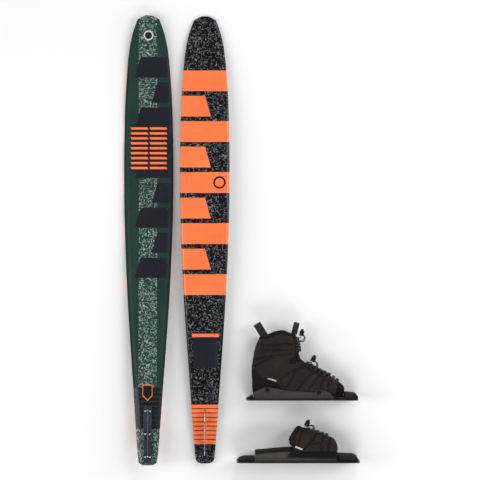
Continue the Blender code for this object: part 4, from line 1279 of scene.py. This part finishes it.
def boot_trim_meshes():
    """Tapes, facings and stitches that lie on the shell: some on the lower part, some on the cuff."""
    tape, thread, facing = ({"boot": bmesh.new(), "boot_cuff": bmesh.new()} for _ in range(3))
    for side in (-1, 1):
        for line in (*QUILT_SEAMS, COUNTER_EDGE):
            flat = smooth_line(line, 10)
            route, normals = side_route(line, side, 10)
            part = "boot" if flat[-1][1] < 0.13 and flat[0][1] < 0.13 else "boot_cuff"
            if line is COUNTER_EDGE:
                sweep(tape["boot"], route, normals, band(0.0034, 0.0014, 0.0006))
            sunk = [p - n * 0.0016 for p, n in zip(route, normals)]
            stitches(thread[part], sunk, normals, 0.0042)
            if line is COUNTER_EDGE:
                stitches(thread["boot"], route, normals, 0.0040, 0.0004, 0.0044)
        for low, high, part in ((0.166, 0.2440, "boot_cuff"), (0.0860, 0.1330, "boot")):
            found = [boot_front(side * FACING_Y, low + (high - low) * k / 30) for k in range(31)]
            route, normals = [p for p, n in found], [n for p, n in found]
            sweep(facing[part], route, normals, band(FACING_WIDTH, FACING_THICK, 0.0006))
            for aside in (-0.0046, 0.0046):
                stitches(thread[part], [p + n * 0.0012 for p, n in found], normals, 0.0036, 0.0003, aside)
            edge = [boot_front(side * (SLOT_HALF + 0.0004), low + (high - low) * k / 30) for k in range(31)]
            sweep(facing[part], [p for p, n in edge], [n for p, n in edge], cord(0.0016, 8))
    return tape, thread, facing


def toe_binding_mesh():
    """The rolled edge round the shell's toe opening."""
    places = []
    for k in range(25):
        z = 0.0195 + (0.0655 - 0.0195) * math.sin(math.pi / 2 * k / 24)
        places.append((0.3044 + 0.262 * z, z))
    left = [boot_side(x, z, 1) for x, z in places]
    right = [boot_side(x, z, -1) for x, z in places]
    found = left + right[::-1]
    route = smooth_route([p for p, n in found][::2] + [found[-1][0]], 3)
    normals = [Vector((0, p.y, max(p.z - 0.02, 0.0) * 0.8)).normalized() for p in route]
    bm = bmesh.new()
    sweep(bm, route, normals, band(0.0060, 0.0030, 0.0010))
    return mesh_of(bm, "toe_binding", 60)


def lace_loops(laces, half, root_at, width):
    """A folded webbing loop at each turn of a lace, from its root on the facing out round the lace."""
    bm = bmesh.new()
    for i, (x, z) in enumerate(laces):
        x2, z2 = laces[i + 1] if i + 1 < len(laces) else (2 * x - laces[i - 1][0], 2 * z - laces[i - 1][1])
        climb = Vector((x2 - x, 0, z2 - z)).normalized()
        for side in (-1, 1):
            lace, root = Vector((x, side * half, z)), root_at(side, z, x)
            ahead = (lace - root).normalized()
            ahead = (ahead - climb * ahead.dot(climb)).normalized()
            out = climb.cross(ahead).normalized()
            r = LACE_R + 0.0009
            start = lace - ahead * (lace - root).length
            turn = [lace + (out * math.cos(a) + ahead * math.sin(a)) * r for a in
                    [math.radians(180 * k / 8) for k in range(9)]]
            route = [start + out * r * 1.3, start.lerp(lace, 0.5) + out * r] + turn
            route += [start.lerp(lace, 0.5) - out * r, start - out * r * 1.3]
            normals = [out, out] + [(p - lace).normalized() for p in turn] + [-out, -out]
            sweep(bm, route, normals, band(width, 0.0010, 0.0005, 2))
    return bm


def strap_loop_mesh(foot, lean, width, height, half_gap, legs):
    """A pull loop of folded webbing: two legs that start in the padding below, and a round top."""
    a = math.radians(lean)
    up, base = Vector((math.sin(a), 0, math.cos(a))), Vector((foot[0], 0, foot[1]))
    middle, r = height - half_gap, half_gap + 0.0011
    turn = [(r * math.cos(math.radians(t)), middle + r * math.sin(math.radians(t)))
            for t in range(0, 181, 10)]
    flat = [(r, -legs), (r, -legs / 2), (r, 0.0), (r, middle / 2)] + turn
    flat += [(-r, middle / 2), (-r, 0.0), (-r, -legs / 2), (-r, -legs)]
    route = [base + Vector((0, y, 0)) + up * z for y, z in flat]
    normals = [Vector((0, y, 0)).normalized() if z <= middle
               else (Vector((0, y, 0)) + up * (z - middle)).normalized()
               for y, z in flat]
    bm = bmesh.new()
    sweep(bm, route, normals, band(width, 0.0024, 0.0012))
    raised = [p + n * 0.0011 for p, n in zip(route, normals)]
    for edge in (-1, 1):
        stitches(bm, raised, normals, 0.0040, 0.0003, edge * width * 0.40)
    return mesh_of(bm, "strap_loop", 60)


def lock_place(lock):
    x, z, lean = lock
    return Matrix.Translation((x, 0, z)) @ Matrix.Rotation(math.radians(lean), 4, "Y")


def lock_meshes():
    """A cord lock: a rounded barrel with finger ribs, cord holes and a bore, and the button in the bore."""
    half, tall, bore = 0.0088, 0.0200, 0.0056
    barrel = bmesh.new()
    square = rounded([(half, -half), (half, half), (-half, half), (-half, -half)], 0.0034, 5)
    levels = [(0.0, 0.86), (0.0008, 0.96), (0.0020, 1.0)]
    for k in range(5):
        z = 0.0048 + 0.0026 * k
        levels += [(z, 1.0), (z + 0.0004, 0.93), (z + 0.0012, 0.93), (z + 0.0016, 1.0)]
    levels += [(0.0184, 1.0), (0.0194, 0.96), (tall, 0.86)]
    loft(barrel, [[(x * s, y * s, z) for x, y in square] for z, s in levels])
    hole, cords = bmesh.new(), bmesh.new()
    drill(hole, bore, 0.024, Matrix.Translation((0, 0, tall - 0.0140 + 0.012)), 28)
    across = Matrix.Rotation(math.radians(90), 4, "X")
    drill(cords, 0.0021, 0.04, Matrix.Translation((0, 0, 0.0030)) @ across, 16)
    body = mesh_of(cut(barrel, [hole, cords]), "lock_body", 40)
    r, low = bore - GAP, tall - 0.0072
    profile = [
        (0, low), (r, low), (r, tall + 0.0040), (r - 0.0005, tall + 0.0056), (r - 0.0016, tall + 0.0066),
        (r - 0.0026, tall + 0.0068), (r - 0.0034, tall + 0.0060), (0, tall + 0.0058),
    ]
    return body, mesh_of(turned(profile, 28), "lock_button", 40)


def plate_mesh(start, end, slot_rows):
    """A mounting plate with round corners, broken edges and slots whose rims are countersunk."""
    corner, half = 0.020, PLATE_HALF - 0.020
    outline = (arc((end - corner, half), corner, 0, 90, 12)
               + arc((start + corner, half), corner, 90, 180, 12)
               + arc((start + corner, -half), corner, 180, 270, 12)
               + arc((end - corner, -half), corner, 270, 360, 12))
    bm = bmesh.new()
    prism(bm, outline, 0.0, PLATE_THICK, "Z")
    rims = [e for e in bm.edges if abs(e.verts[0].co.z - e.verts[1].co.z) < 1e-7]
    bmesh.ops.bevel(bm, geom=rims, offset=0.0007, segments=3, profile=0.5, affect="EDGES", material=-1)
    slots = bmesh.new()
    levels = ((0.0, -0.01), (0.0, PLATE_THICK - 0.0016),
              (0.0014, PLATE_THICK - 0.0001), (0.0014, PLATE_THICK + 0.01))
    for x in slot_rows:
        for side in (-1, 1):
            loft(slots, [[(a, b, z) for a, b in stadium(x, side * 0.024, 0.011 + wide, 0.0034 + wide)]
                         for wide, z in levels])
    return mesh_of(cut(bm, [slots]), "plate", 30)


def rail_mesh(side):
    """A bent side rail with a flange on the plate, holes for its bolts and a pressed line along it."""
    low, outer = PLATE_THICK + GAP, RAIL_INNER + RAIL_THICK
    bm, flange, holes, line = (bmesh.new() for _ in range(4))
    y0, y1 = sorted((side * RAIL_INNER, side * outer))
    prism(bm, [tuple(p) for p in rounded(RAIL, 0.006, 5)], y0, y1)
    f0, f1 = sorted((side * (RAIL_INNER - 0.016), side * (outer - 0.0004)))
    prism(flange, [(0.0135, low), (0.3080, low), (0.3080, 0.0080), (0.0135, 0.0080)], f0, f1)
    joined = cut(bm, [flange], "UNION")
    for x, z in BOLTS:
        turn = Matrix.Rotation(math.pi / 2, 4, "X")
        drill(holes, 0.0034, 0.03, Matrix.Translation((x, side * outer, z)) @ turn, 24)
    l0, l1 = sorted((side * (outer - 0.0005), side * (outer + 0.004)))
    press = [
        (0.030, 0.0150), (0.150, 0.0125), (0.292, 0.0150), (0.292, 0.0164), (0.150, 0.0139), (0.030, 0.0164),
    ]
    prism(line, press, l0, l1)
    made = cut(joined, [holes, line])
    soften(made, 0.0006, 2, 50)
    return mesh_of(made, f"rail_{side}", 30)


def pad_mesh(outline, half, radius=0.0030, grooves=()):
    """A foam pad with soft edges and shallow grooves across its top."""
    bm, lines = bmesh.new(), bmesh.new()
    prism(bm, [tuple(p) for p in rounded(outline, radius, 4)], -half, half)
    soften(bm, 0.0016, 3, 40)
    for x, z in grooves:
        groove = [(x, z), (x + 0.0022, z), (x + 0.0022, z + 0.02), (x, z + 0.02)]
        prism(lines, groove, -half - 0.01, half + 0.01)
    return mesh_of(cut(bm, [lines]) if grooves else bm, "pad", 35)


def footbed_mesh():
    bm = bmesh.new()
    rings = [(0.0083, 0.0015), (0.0090, 0.0005), (0.0160, 0.0005), (SOLE_Z - GAP, 0.0015)]
    loft(bm, [[(p.x, p.y * 0.99, z) for p in even_ring(SOLE_Z, 160, inset)] for z, inset in rings])
    return mesh_of(bm, "footbed", 35)


def pale_tab(bm, thread, ends, side):
    route, normals = side_route(ends, side, 8)
    sweep(bm, route, normals, band(0.0062, 0.0010, 0.0001, 2))
    for aside in (-0.0025, 0.0025):
        stitches(thread, [p + n * 0.0009 for p, n in zip(route, normals)], normals, 0.0030, 0.0002, aside)


def dress_boot():
    place = binding_place("boot_plate", -0.0205)

    def add(name, mesh, finish, rides, nodes, slot, extra=Matrix()):
        piece = show(name, mesh, finish, place @ extra)
        if nodes:
            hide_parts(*nodes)
        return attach(piece, rides) if rides else piece

    upper = add("boot_quilted_upper", boot_upper_mesh(), [QUILT, COUNTER, NEOPRENE, LINING, GUSSET], None,
                ("boot_lower", "boot_cuff"), "boot_fabric")
    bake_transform(upper)
    tongue = add("boot_padded_tongue", tongue_mesh(), QUILT_DARK, None,
                 ("boot_tongue_lower", "boot_tongue_upper"), "foam_black")
    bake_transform(tongue)
    add("boot_neoprene_toe", toe_liner_mesh(), NEOPRENE, "boot", ("boot_liner_toe",), "foam_black")
    add("boot_toe_binding", toe_binding_mesh(), PIPING, "boot", (), "webbing_black")

    tape, thread, facing = boot_trim_meshes()
    tab = bmesh.new()
    for side in (-1, 1):
        pale_tab(tab, thread["boot"], ((0.0605, 0.0815), (0.0760, 0.0775), (0.0920, 0.0720)), side)
    add("boot_pale_tabs", mesh_of(tab, "tabs", 60), TAB, "boot", (), "webbing_black")
    for part, word in (("boot", "lower"), ("boot_cuff", "cuff")):
        for bm, kind, finish in ((tape[part], "tape", PIPING), (thread[part], "stitching", THREAD),
                                 (facing[part], "facing", COUNTER)):
            if not bm.verts:
                bm.free()
                continue
            piece = add(f"boot_{word}_{kind}", mesh_of(bm, kind, 60), finish, None, (), "webbing_black")
            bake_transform(piece)

    def facing_root(side, z, x):
        return boot_front(side * 0.0262, z)[0]

    def instep_root(side, z, x):
        return boot_front(side * 0.0262, max(z - 0.012, 0.084))[0]

    lower = lace_loops(LOWER_LACE, 0.017, instep_root, 0.0075)
    add("boot_lower_lace_loops", mesh_of(lower, "loops", 60), WEBBING, "boot", (), "webbing_black")
    upper = lace_loops(UPPER_LACE, 0.018, facing_root, 0.0070)
    add("boot_cuff_lace_loops", mesh_of(upper, "loops", 60), WEBBING, "boot_cuff", (), "webbing_black")
    for name, laces, half, last, rides, back in (
            ("lower", LOWER_LACE, 0.017, (0.2271, 0.0, 0.1379), "boot", LOWER_LACE_BACK),
            ("upper", UPPER_LACE, 0.018, (0.1865, 0.0, 0.2345), "boot_cuff", UPPER_LACE_BACK)):
        bm = bmesh.new()
        points = [(x, half if i % 2 else -half, z) for i, (x, z) in enumerate(laces)] + [last]
        cord_along(bm, points, 10, LACE_R)
        cord_along(bm, back, 8, LACE_R)
        cord_along(bm, twin(back), 8, LACE_R)
        add(f"boot_braided_lace_{name}", mesh_of(bm, "lace", 60), LACE, rides, (f"boot_lace_{name}",),
            "webbing_black")
    anchors = bmesh.new()
    for (x, z), lean in (((0.3070, 0.0800), 38), ((0.3210, 0.0705), 44)):
        a = math.radians(lean)
        out, ahead = Vector((math.sin(a), 0, math.cos(a))), Vector((math.cos(a), 0, -math.sin(a)))
        turn = [Vector((x, 0, z)) + out * (0.004 + 0.0034 * math.sin(t)) + ahead * 0.0034 * math.cos(t)
                for t in [math.radians(15 * k) for k in range(13)]]
        route = [turn[0] - out * 0.006, *turn, turn[-1] - out * 0.006]
        middle = Vector((x, 0, z)) + out * 0.004
        cord_along(anchors, [middle + Vector((0, y, 0)) for y in (-0.0105, -0.004, 0.004, 0.0105)], 2, 0.0018)
        outward = [ahead] + [(p - middle).normalized() for p in turn] + [-ahead]
        sweep(anchors, route, outward, band(0.018, 0.0030))
    add("boot_toe_anchor_loops", mesh_of(anchors, "anchors", 60), WEBBING, "boot", (), "webbing_black")

    body, button = lock_meshes()
    for word, lock, rides in (("lower", LOWER_LOCK, "boot"), ("upper", UPPER_LOCK, "boot_cuff")):
        add(f"boot_ribbed_lock_{word}", body.copy(), LOCK, rides, (f"boot_lock_{word}_body",), "lock_plastic",
            lock_place(lock))
        add(f"boot_lock_plunger_{word}", button.copy(), LOCK, f"boot_lock_{word}_button",
            (f"boot_lock_{word}_button",), "lock_plastic", lock_place(lock))

    for node, foot, shape in (("boot_heel_loop", HEEL_LOOP_AT, (-32, 0.029, 0.040, 0.017, 0.016)),
                              ("boot_tongue_loop", TONGUE_LOOP_AT, (14, 0.021, 0.030, 0.014, 0.012))):
        piece = add(f"{node}_webbing", strap_loop_mesh(foot, *shape), WEBBING, None, (node,), "webbing_black")
        a = math.radians(shape[0])
        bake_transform(piece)

    add("boot_machined_plate", plate_mesh(-0.0205, 0.4010, (0.060, 0.285)), PLATE, "boot", ("boot_plate",),
        "plate_dark")
    bolt = screw_mesh(0.0030, 0.0425, RAIL_INNER + RAIL_THICK + GAP, 0.0085, 0.0052, 0.0026)
    for word, side in (("left", 1), ("right", -1)):
        add(f"boot_pressed_rail_{word}", rail_mesh(side), RAIL_METAL, "boot", (f"boot_rail_{word}",),
            "rail_grey")
        for end, (x, z) in zip(("rear", "front"), BOLTS):
            turn = Matrix.Translation((x, 0, z)) @ Matrix.Rotation(math.radians(-90 * side), 4, "X")
            add(f"boot_button_bolt_{end}_{word}", bolt.copy(), BOLT, "boot",
                (f"boot_side_bolt_{end}_{word}",), "bolt_black", turn)
    low = PLATE_THICK + GAP
    ramp = [
        (0.3485, low), (0.3990, low), (0.3990, 0.0140), (0.3960, 0.0195), (0.3880, 0.0225), (0.3620, 0.0255),
        (0.3530, 0.0260), (0.3500, 0.0150),
    ]
    toe_pad = add("boot_eva_toe_pad", pad_mesh(ramp, 0.048), EVA, "boot", ("boot_toe_pad",), "foam_black")
    wedge = [(-0.0190, low), (0.0050, low), (0.0050, 0.0150), (0.0010, 0.0150), (-0.0110, 0.0070)]
    heel_pad = add("boot_eva_heel_wedge", pad_mesh(wedge, 0.036, 0.0014), EVA, "boot", ("boot_heel_wedge",),
                   "foam_black")
    sole = add("boot_eva_footbed", footbed_mesh(), EVA_RIBBED, "boot", ("boot_footbed",), "foam_black")


# ---- rear toe plate ----
ARCH_MIDDLE = 0.06
TOE_TAB = ((0.2200, 0.0620), (0.2330, 0.0570), (0.2465, 0.0520))
TOE_WRAP_HEM = ((0.1950, 0.0265), (0.2280, 0.0255), (0.3300, 0.0215), (0.3740, 0.0215))
# length along the plate, top of the arch, half width
TOE_SECTIONS = (
    (0.196, 0.138, 0.0560), (0.227, 0.134, 0.0575), (0.260, 0.124, 0.0590), (0.298, 0.112, 0.0590),
    (0.330, 0.101, 0.0580), (0.360, 0.088, 0.0560), (0.3725, 0.080, 0.0540), (0.3795, 0.068, 0.0515),
)
TOE_TOPS = [(x, top) for x, top, half in TOE_SECTIONS]
TOE_HALVES = [(x, half) for x, top, half in TOE_SECTIONS]
TOE_FOOT = 0.0440
TOE_WALL = 0.009
TOE_REAR = ((0.0440, 0.2160), (0.0600, 0.2120), (0.0700, 0.2000), (0.0780, 0.1990), (0.1330, 0.2270))
TOE_SEAMS = (
    ((0.2290, 0.0600), (0.2340, 0.0850), (0.2470, 0.1180), (0.2530, 0.1290)),
    ((0.2520, 0.0500), (0.2680, 0.0700), (0.2895, 0.0920), (0.3050, 0.1130)),
    ((0.2680, 0.0700), (0.2900, 0.0720), (0.3180, 0.0760)),
    ((0.3170, 0.0440), (0.3180, 0.0760), (0.3270, 0.1030)),
    ((0.3440, 0.0440), (0.3460, 0.0660), (0.3500, 0.0930)),
)
RISER_TOP = ((0.0694, 0.0310), (0.100, 0.0340), (0.205, 0.0420), (0.300, 0.0360), (0.376, 0.0250))


def toe_point(x, a, inset=0.0):
    """A point of the toe cover's arch at a length along it and an angle from its right foot over the top."""
    top, half = smooth_value(TOE_TOPS, x) - inset, smooth_value(TOE_HALVES, x) - inset
    rise = TOE_FOOT + 0.012
    return Vector((x, -half * math.cos(a), rise + (top - rise) * max(math.sin(a), 0.0) ** 0.8))


def toe_spot(x, z, side=1):
    """A point of the toe cover's side from its place in the side view, and its outward normal."""
    rise = TOE_FOOT + 0.012
    top = smooth_value(TOE_TOPS, x)
    share = min(max((z - rise) / (top - rise), 0.0), 0.9999) ** (1 / 0.8)
    a = math.pi - math.asin(share)
    p = toe_point(x, a)
    if z < rise:
        p.z = z
        return Vector((p.x, side * p.y, p.z)), Vector((0, side, 0))
    e = 0.01
    round_it = toe_point(x, a + e) - toe_point(x, a - e)
    ahead = toe_point(x + 0.002, a) - toe_point(x - 0.002, a)
    n = round_it.cross(ahead).normalized()
    if n.y < 0 or n.z < -0.2:
        n = -n
    return Vector((p.x, side * p.y, p.z)), Vector((n.x, side * n.y, n.z))


def toe_cover_mesh():
    """The padded toe cover: an arch with thick rolled edges, blown up between its seams."""
    across, along = 96, 92
    angles = [math.pi * k / across for k in range(across + 1)]
    feet = [TOE_FOOT + 0.012 * k / 5 for k in range(5)]

    def face(u, inset):
        made = []
        for side in (-1, 1):
            column = []
            for z in feet:
                x = smooth_value(TOE_REAR, z) + u * (TOE_SECTIONS[-1][0] - smooth_value(TOE_REAR, z))
                column.append(Vector((x, side * (smooth_value(TOE_HALVES, x) - inset), z)))
            made.append(column)
        arch = []
        for a in angles:
            guess = toe_point(0.23, a, 0.0)
            x = smooth_value(TOE_REAR, guess.z) + u * (TOE_SECTIONS[-1][0] - smooth_value(TOE_REAR, guess.z))
            arch.append(toe_point(x, a, inset))
        return made[0] + arch + made[1][::-1]

    rings = []
    for k in range(along + 1):
        u = k / along
        slim = 0.0038 * (1 - min(1.0, 14 * u, 14 * (1 - u)) ** 0.5)
        outer, inner = face(u, slim), face(u, TOE_WALL - slim)
        ring = outer + inner[::-1]
        rings.append(ring)
    bm = bmesh.new()
    loft(bm, rings)
    mesh = mesh_of(bm, "toe_cover", 60)
    gap = off_lines([(v.co.x, v.co.z) for v in mesh.vertices], [smooth_line(line) for line in TOE_SEAMS])
    normals = [v.normal.copy() for v in mesh.vertices]
    count = len(rings[0])
    sewn, reach = [], []
    for i, v in enumerate(mesh.vertices):
        outer = i % count < count // 2
        row = i // count
        edge = row < 3 or row > along - 3 or v.co.z < TOE_FOOT + 0.004
        if not outer or edge or gap[i] < 0.0013:
            sewn.append(i)
        else:
            v.co += normals[i] * (noise.noise(v.co * 60.0) * 0.0008 + noise.noise(v.co * 150.0) * 0.0003)
        if outer and not edge:
            v.co -= normals[i] * 0.0020 * math.exp(-(gap[i] / 0.0026) ** 2)
        reach.append(0.0048 if v.co.z > 0.052 else 0.0010)
    inflate(mesh, sewn, 9.0, reach)
    # the seam marks drive the painted seam shade of the quilt finish
    return mark_seams(mesh, TOE_SEAMS)


def dress_toe_plate():
    place = binding_place("toe_plate", 0.0)

    def add(name, mesh, finish, nodes, slot, extra=Matrix(), rides="toe_plate"):
        piece = show(name, mesh, finish, place @ extra)
        if nodes:
            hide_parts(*nodes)
        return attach(piece, rides)

    cover = add("toe_quilted_cover", toe_cover_mesh(), QUILT, ("toe_cover",), "boot_fabric")
    thread, tape, tab = bmesh.new(), bmesh.new(), bmesh.new()
    for side in (-1, 1):
        for line in TOE_SEAMS:
            found = [toe_spot(x, z, side) for x, z in smooth_line(line, 10)]
            stitches(thread, [p - n * 0.0015 for p, n in found], [n for p, n in found], 0.0042)
        tab_route = [toe_spot(x, z, side) for x, z in smooth_line(TOE_TAB, 6)]
        sweep(tab, [p + n * 0.0014 for p, n in tab_route], [n for p, n in tab_route],
              band(0.0062, 0.0010, 0.0001, 2))
    rear = []
    for k in range(81):
        a = math.pi * k / 80
        guess = toe_point(0.23, a)
        p = toe_point(smooth_value(TOE_REAR, guess.z) + 0.010, a, 0.0)
        rear.append(p)
    outward = [Vector((0, p.y, max(p.z - ARCH_MIDDLE, 0.0))).normalized() for p in rear]
    sweep(tape, rear, outward, band(0.0110, 0.0022, 0.0008))
    raised = [p + Vector((0, p.y, p.z - ARCH_MIDDLE)).normalized() * 0.0016 for p in rear]
    for aside in (-0.0040, 0.0040):
        stitches(thread, raised, outward, 0.0040, 0.0003, aside)
    add("toe_cover_binding", mesh_of(tape, "binding", 60), COUNTER, (), "webbing_black")
    add("toe_cover_stitching", mesh_of(thread, "stitching", 60), THREAD, (), "webbing_black")
    for v in tab.verts:
        v.co.y = math.copysign(min(abs(v.co.y), LYING_HALF + 0.0008), v.co.y)
    add("toe_pale_tabs", mesh_of(tab, "tabs", 60), TAB, (), "webbing_black")

    def cover_root(side, z, x):
        a = math.pi / 2 + side * 0.44
        return toe_point(x, a)

    add("toe_lace_loops", mesh_of(lace_loops(TOE_LACE, 0.015, cover_root, 0.0075), "loops", 60), WEBBING, (),
        "webbing_black")
    lace = bmesh.new()
    points = [(x, 0.015 if i % 2 else -0.015, z) for i, (x, z) in enumerate(TOE_LACE)]
    cord_along(lace, points + [(0.2630, 0.0, 0.1270)], 10, LACE_R)
    cord_along(lace, TOE_LACE_BACK, 8, LACE_R)
    cord_along(lace, twin(TOE_LACE_BACK), 8, LACE_R)
    add("toe_braided_lace", mesh_of(lace, "lace", 60), LACE, ("toe_lace",), "webbing_black")
    body, button = lock_meshes()
    add("toe_ribbed_lock", body, LOCK, ("toe_lock_body",), "lock_plastic", lock_place(TOE_LOCK))
    add("toe_lock_plunger", button, LOCK, ("toe_lock_button",), "lock_plastic", lock_place(TOE_LOCK),
        "toe_lock_button")

    add("toe_machined_plate", plate_mesh(0.0, 0.4641, (0.095, 0.345)), PLATE, ("toe_plate",), "plate_dark")
    low = PLATE_THICK + GAP
    riser = [(0.0694, low), (0.3760, low)] + list(reversed(smooth_line(RISER_TOP, 8)))
    add("toe_moulded_riser", pad_mesh(riser, 0.0465, 0.0015), RISER, ("toe_riser",), "riser_grey")
    top = [(x, z + GAP) for x, z in smooth_line(RISER_TOP, 8)]
    sheet = top + [(x, z + 0.0065) for x, z in reversed(top)]
    bed = add("toe_eva_footbed", pad_mesh(sheet, 0.0465, 0.0015), EVA_RIBBED, ("toe_footbed",), "foam_black")
    rail = [(0.1720, low), (0.1720, 0.0073), (0.1930, 0.0205), (0.3760, 0.0145), (0.3760, low)]
    for word, side in (("left", 1), ("right", -1)):
        y0, y1 = sorted((side * 0.0470, side * 0.0505))
        bm = bmesh.new()
        prism(bm, [tuple(p) for p in rounded(rail, 0.003, 4)], y0, y1)
        soften(bm, 0.0006, 2, 50)
        add(f"toe_pressed_rail_{word}", mesh_of(bm, "rail", 30), RAIL_METAL, (f"toe_rail_{word}",),
            "rail_grey")
        wrap = [(0.1900, 0.0240), (0.2050, 0.0435), (0.3790, 0.0435), (0.3790, 0.0180)]
        w0, w1 = sorted((side * 0.0512, side * 0.0562))
        bm, seam = bmesh.new(), bmesh.new()
        prism(bm, [tuple(p) for p in rounded(wrap, 0.005, 5)], w0, w1)
        soften(bm, 0.0018, 3, 50)
        add(f"toe_neoprene_wrap_{word}", mesh_of(bm, "wrap", 35), NEOPRENE, (f"toe_wrap_{word}",),
            "foam_black")
        hem = [Vector((x, side * 0.0560, z)) for x, z in TOE_WRAP_HEM]
        stitches(seam, smooth_route(hem, 6), [Vector((0, side, 0))] * 19, 0.0042)
        add(f"toe_wrap_stitching_{word}", mesh_of(seam, "hem", 60), THREAD, (), "webbing_black")
    heel = [(0.0040, low), (0.0660, low), (0.0660, 0.0165), (0.0280, 0.0160), (0.0110, 0.0110)]
    heel_pad = add("toe_eva_heel_pad", pad_mesh(heel, 0.045, 0.0025), EVA, ("toe_heel_pad",), "foam_black")
    front = [
        (0.3830, low), (0.4570, low), (0.4580, 0.0130), (0.4500, 0.0215), (0.4380, 0.0250), (0.3830, 0.0265),
    ]
    front_pad = add("toe_eva_front_pad", pad_mesh(front, 0.046, 0.0030), EVA, ("toe_front_pad",),
                    "foam_black")


# ---- floor, light and camera ----
def set_stage():
    bm = bmesh.new()
    bmesh.ops.create_grid(bm, x_segments=2, y_segments=2, size=8.0)
    f = Finish("floor_white", (0.92, 0.92, 0.92), 0.9)
    f.set("Base Color", f.mix(f.noise(3.0), (0.91, 0.91, 0.91), (0.93, 0.93, 0.93)))
    floor = show("floor", mesh_of(bm, "floor"), f.material)
    floor.location.z = cad_box[0].z - 0.0005


def area_light(name, at, target, size, power, colour=(1, 1, 1)):
    data = bpy.data.lights.new(name, "AREA")
    data.shape = "RECTANGLE"
    data.size, data.size_y = size
    data.energy = power
    data.color = colour
    made = bpy.data.objects.new(name, data)
    bpy.context.scene.collection.objects.link(made)
    made.location = at
    made.rotation_euler = (Vector(target) - Vector(at)).to_track_quat("-Z", "Y").to_euler()


def set_lights():
    world = bpy.data.worlds.new("studio")
    bpy.context.scene.world = world
    world.use_nodes = True
    tree = world.node_tree
    split = tree.nodes.new("ShaderNodeSeparateXYZ")
    tree.links.new(tree.nodes.new("ShaderNodeTexCoord").outputs["Generated"], split.inputs["Vector"])
    fade = tree.nodes.new("ShaderNodeMapRange")
    for socket, number in (("From Min", 0.15), ("From Max", 0.95), ("To Min", 0.95), ("To Max", 0.12)):
        fade.inputs[socket].default_value = number
    tree.links.new(split.outputs["Z"], fade.inputs["Value"])
    tree.links.new(fade.outputs["Result"], tree.nodes["Background"].inputs["Strength"])
    tree.nodes["Background"].inputs["Color"].default_value = (1, 1, 1, 1)
    area_light("left_softbox", (-3.2, -0.5, 2.6), (0, 0, 0), (1.2, 4.0), 70)
    area_light("right_softbox", (3.0, 0.6, 2.4), (0, 0, 0), (1.2, 3.6), 60)
    area_light("top_softbox", (1.2, 3.4, 3.2), (0.1, -0.2, 0), (2.6, 1.0), 50)
    area_light("low_softbox", (0.9, -3.4, 3.0), (0.3, -0.6, 0), (2.6, 1.0), 45)


def set_camera():
    """Straight above the layout, so that the whole of it fills the view as on a page, in plain colours."""
    data = bpy.data.cameras.new("camera")
    bpy.context.scene.view_settings.view_transform = "Standard"
    data.lens = 120
    data.sensor_width = 36
    made = bpy.data.objects.new("camera", data)
    bpy.context.scene.collection.objects.link(made)
    made.location = (-0.0044, -0.001, 6.113)
    bpy.context.scene.camera = made


set_stage()
set_lights()
set_camera()
dress_skis()
dress_boot()
dress_toe_plate()
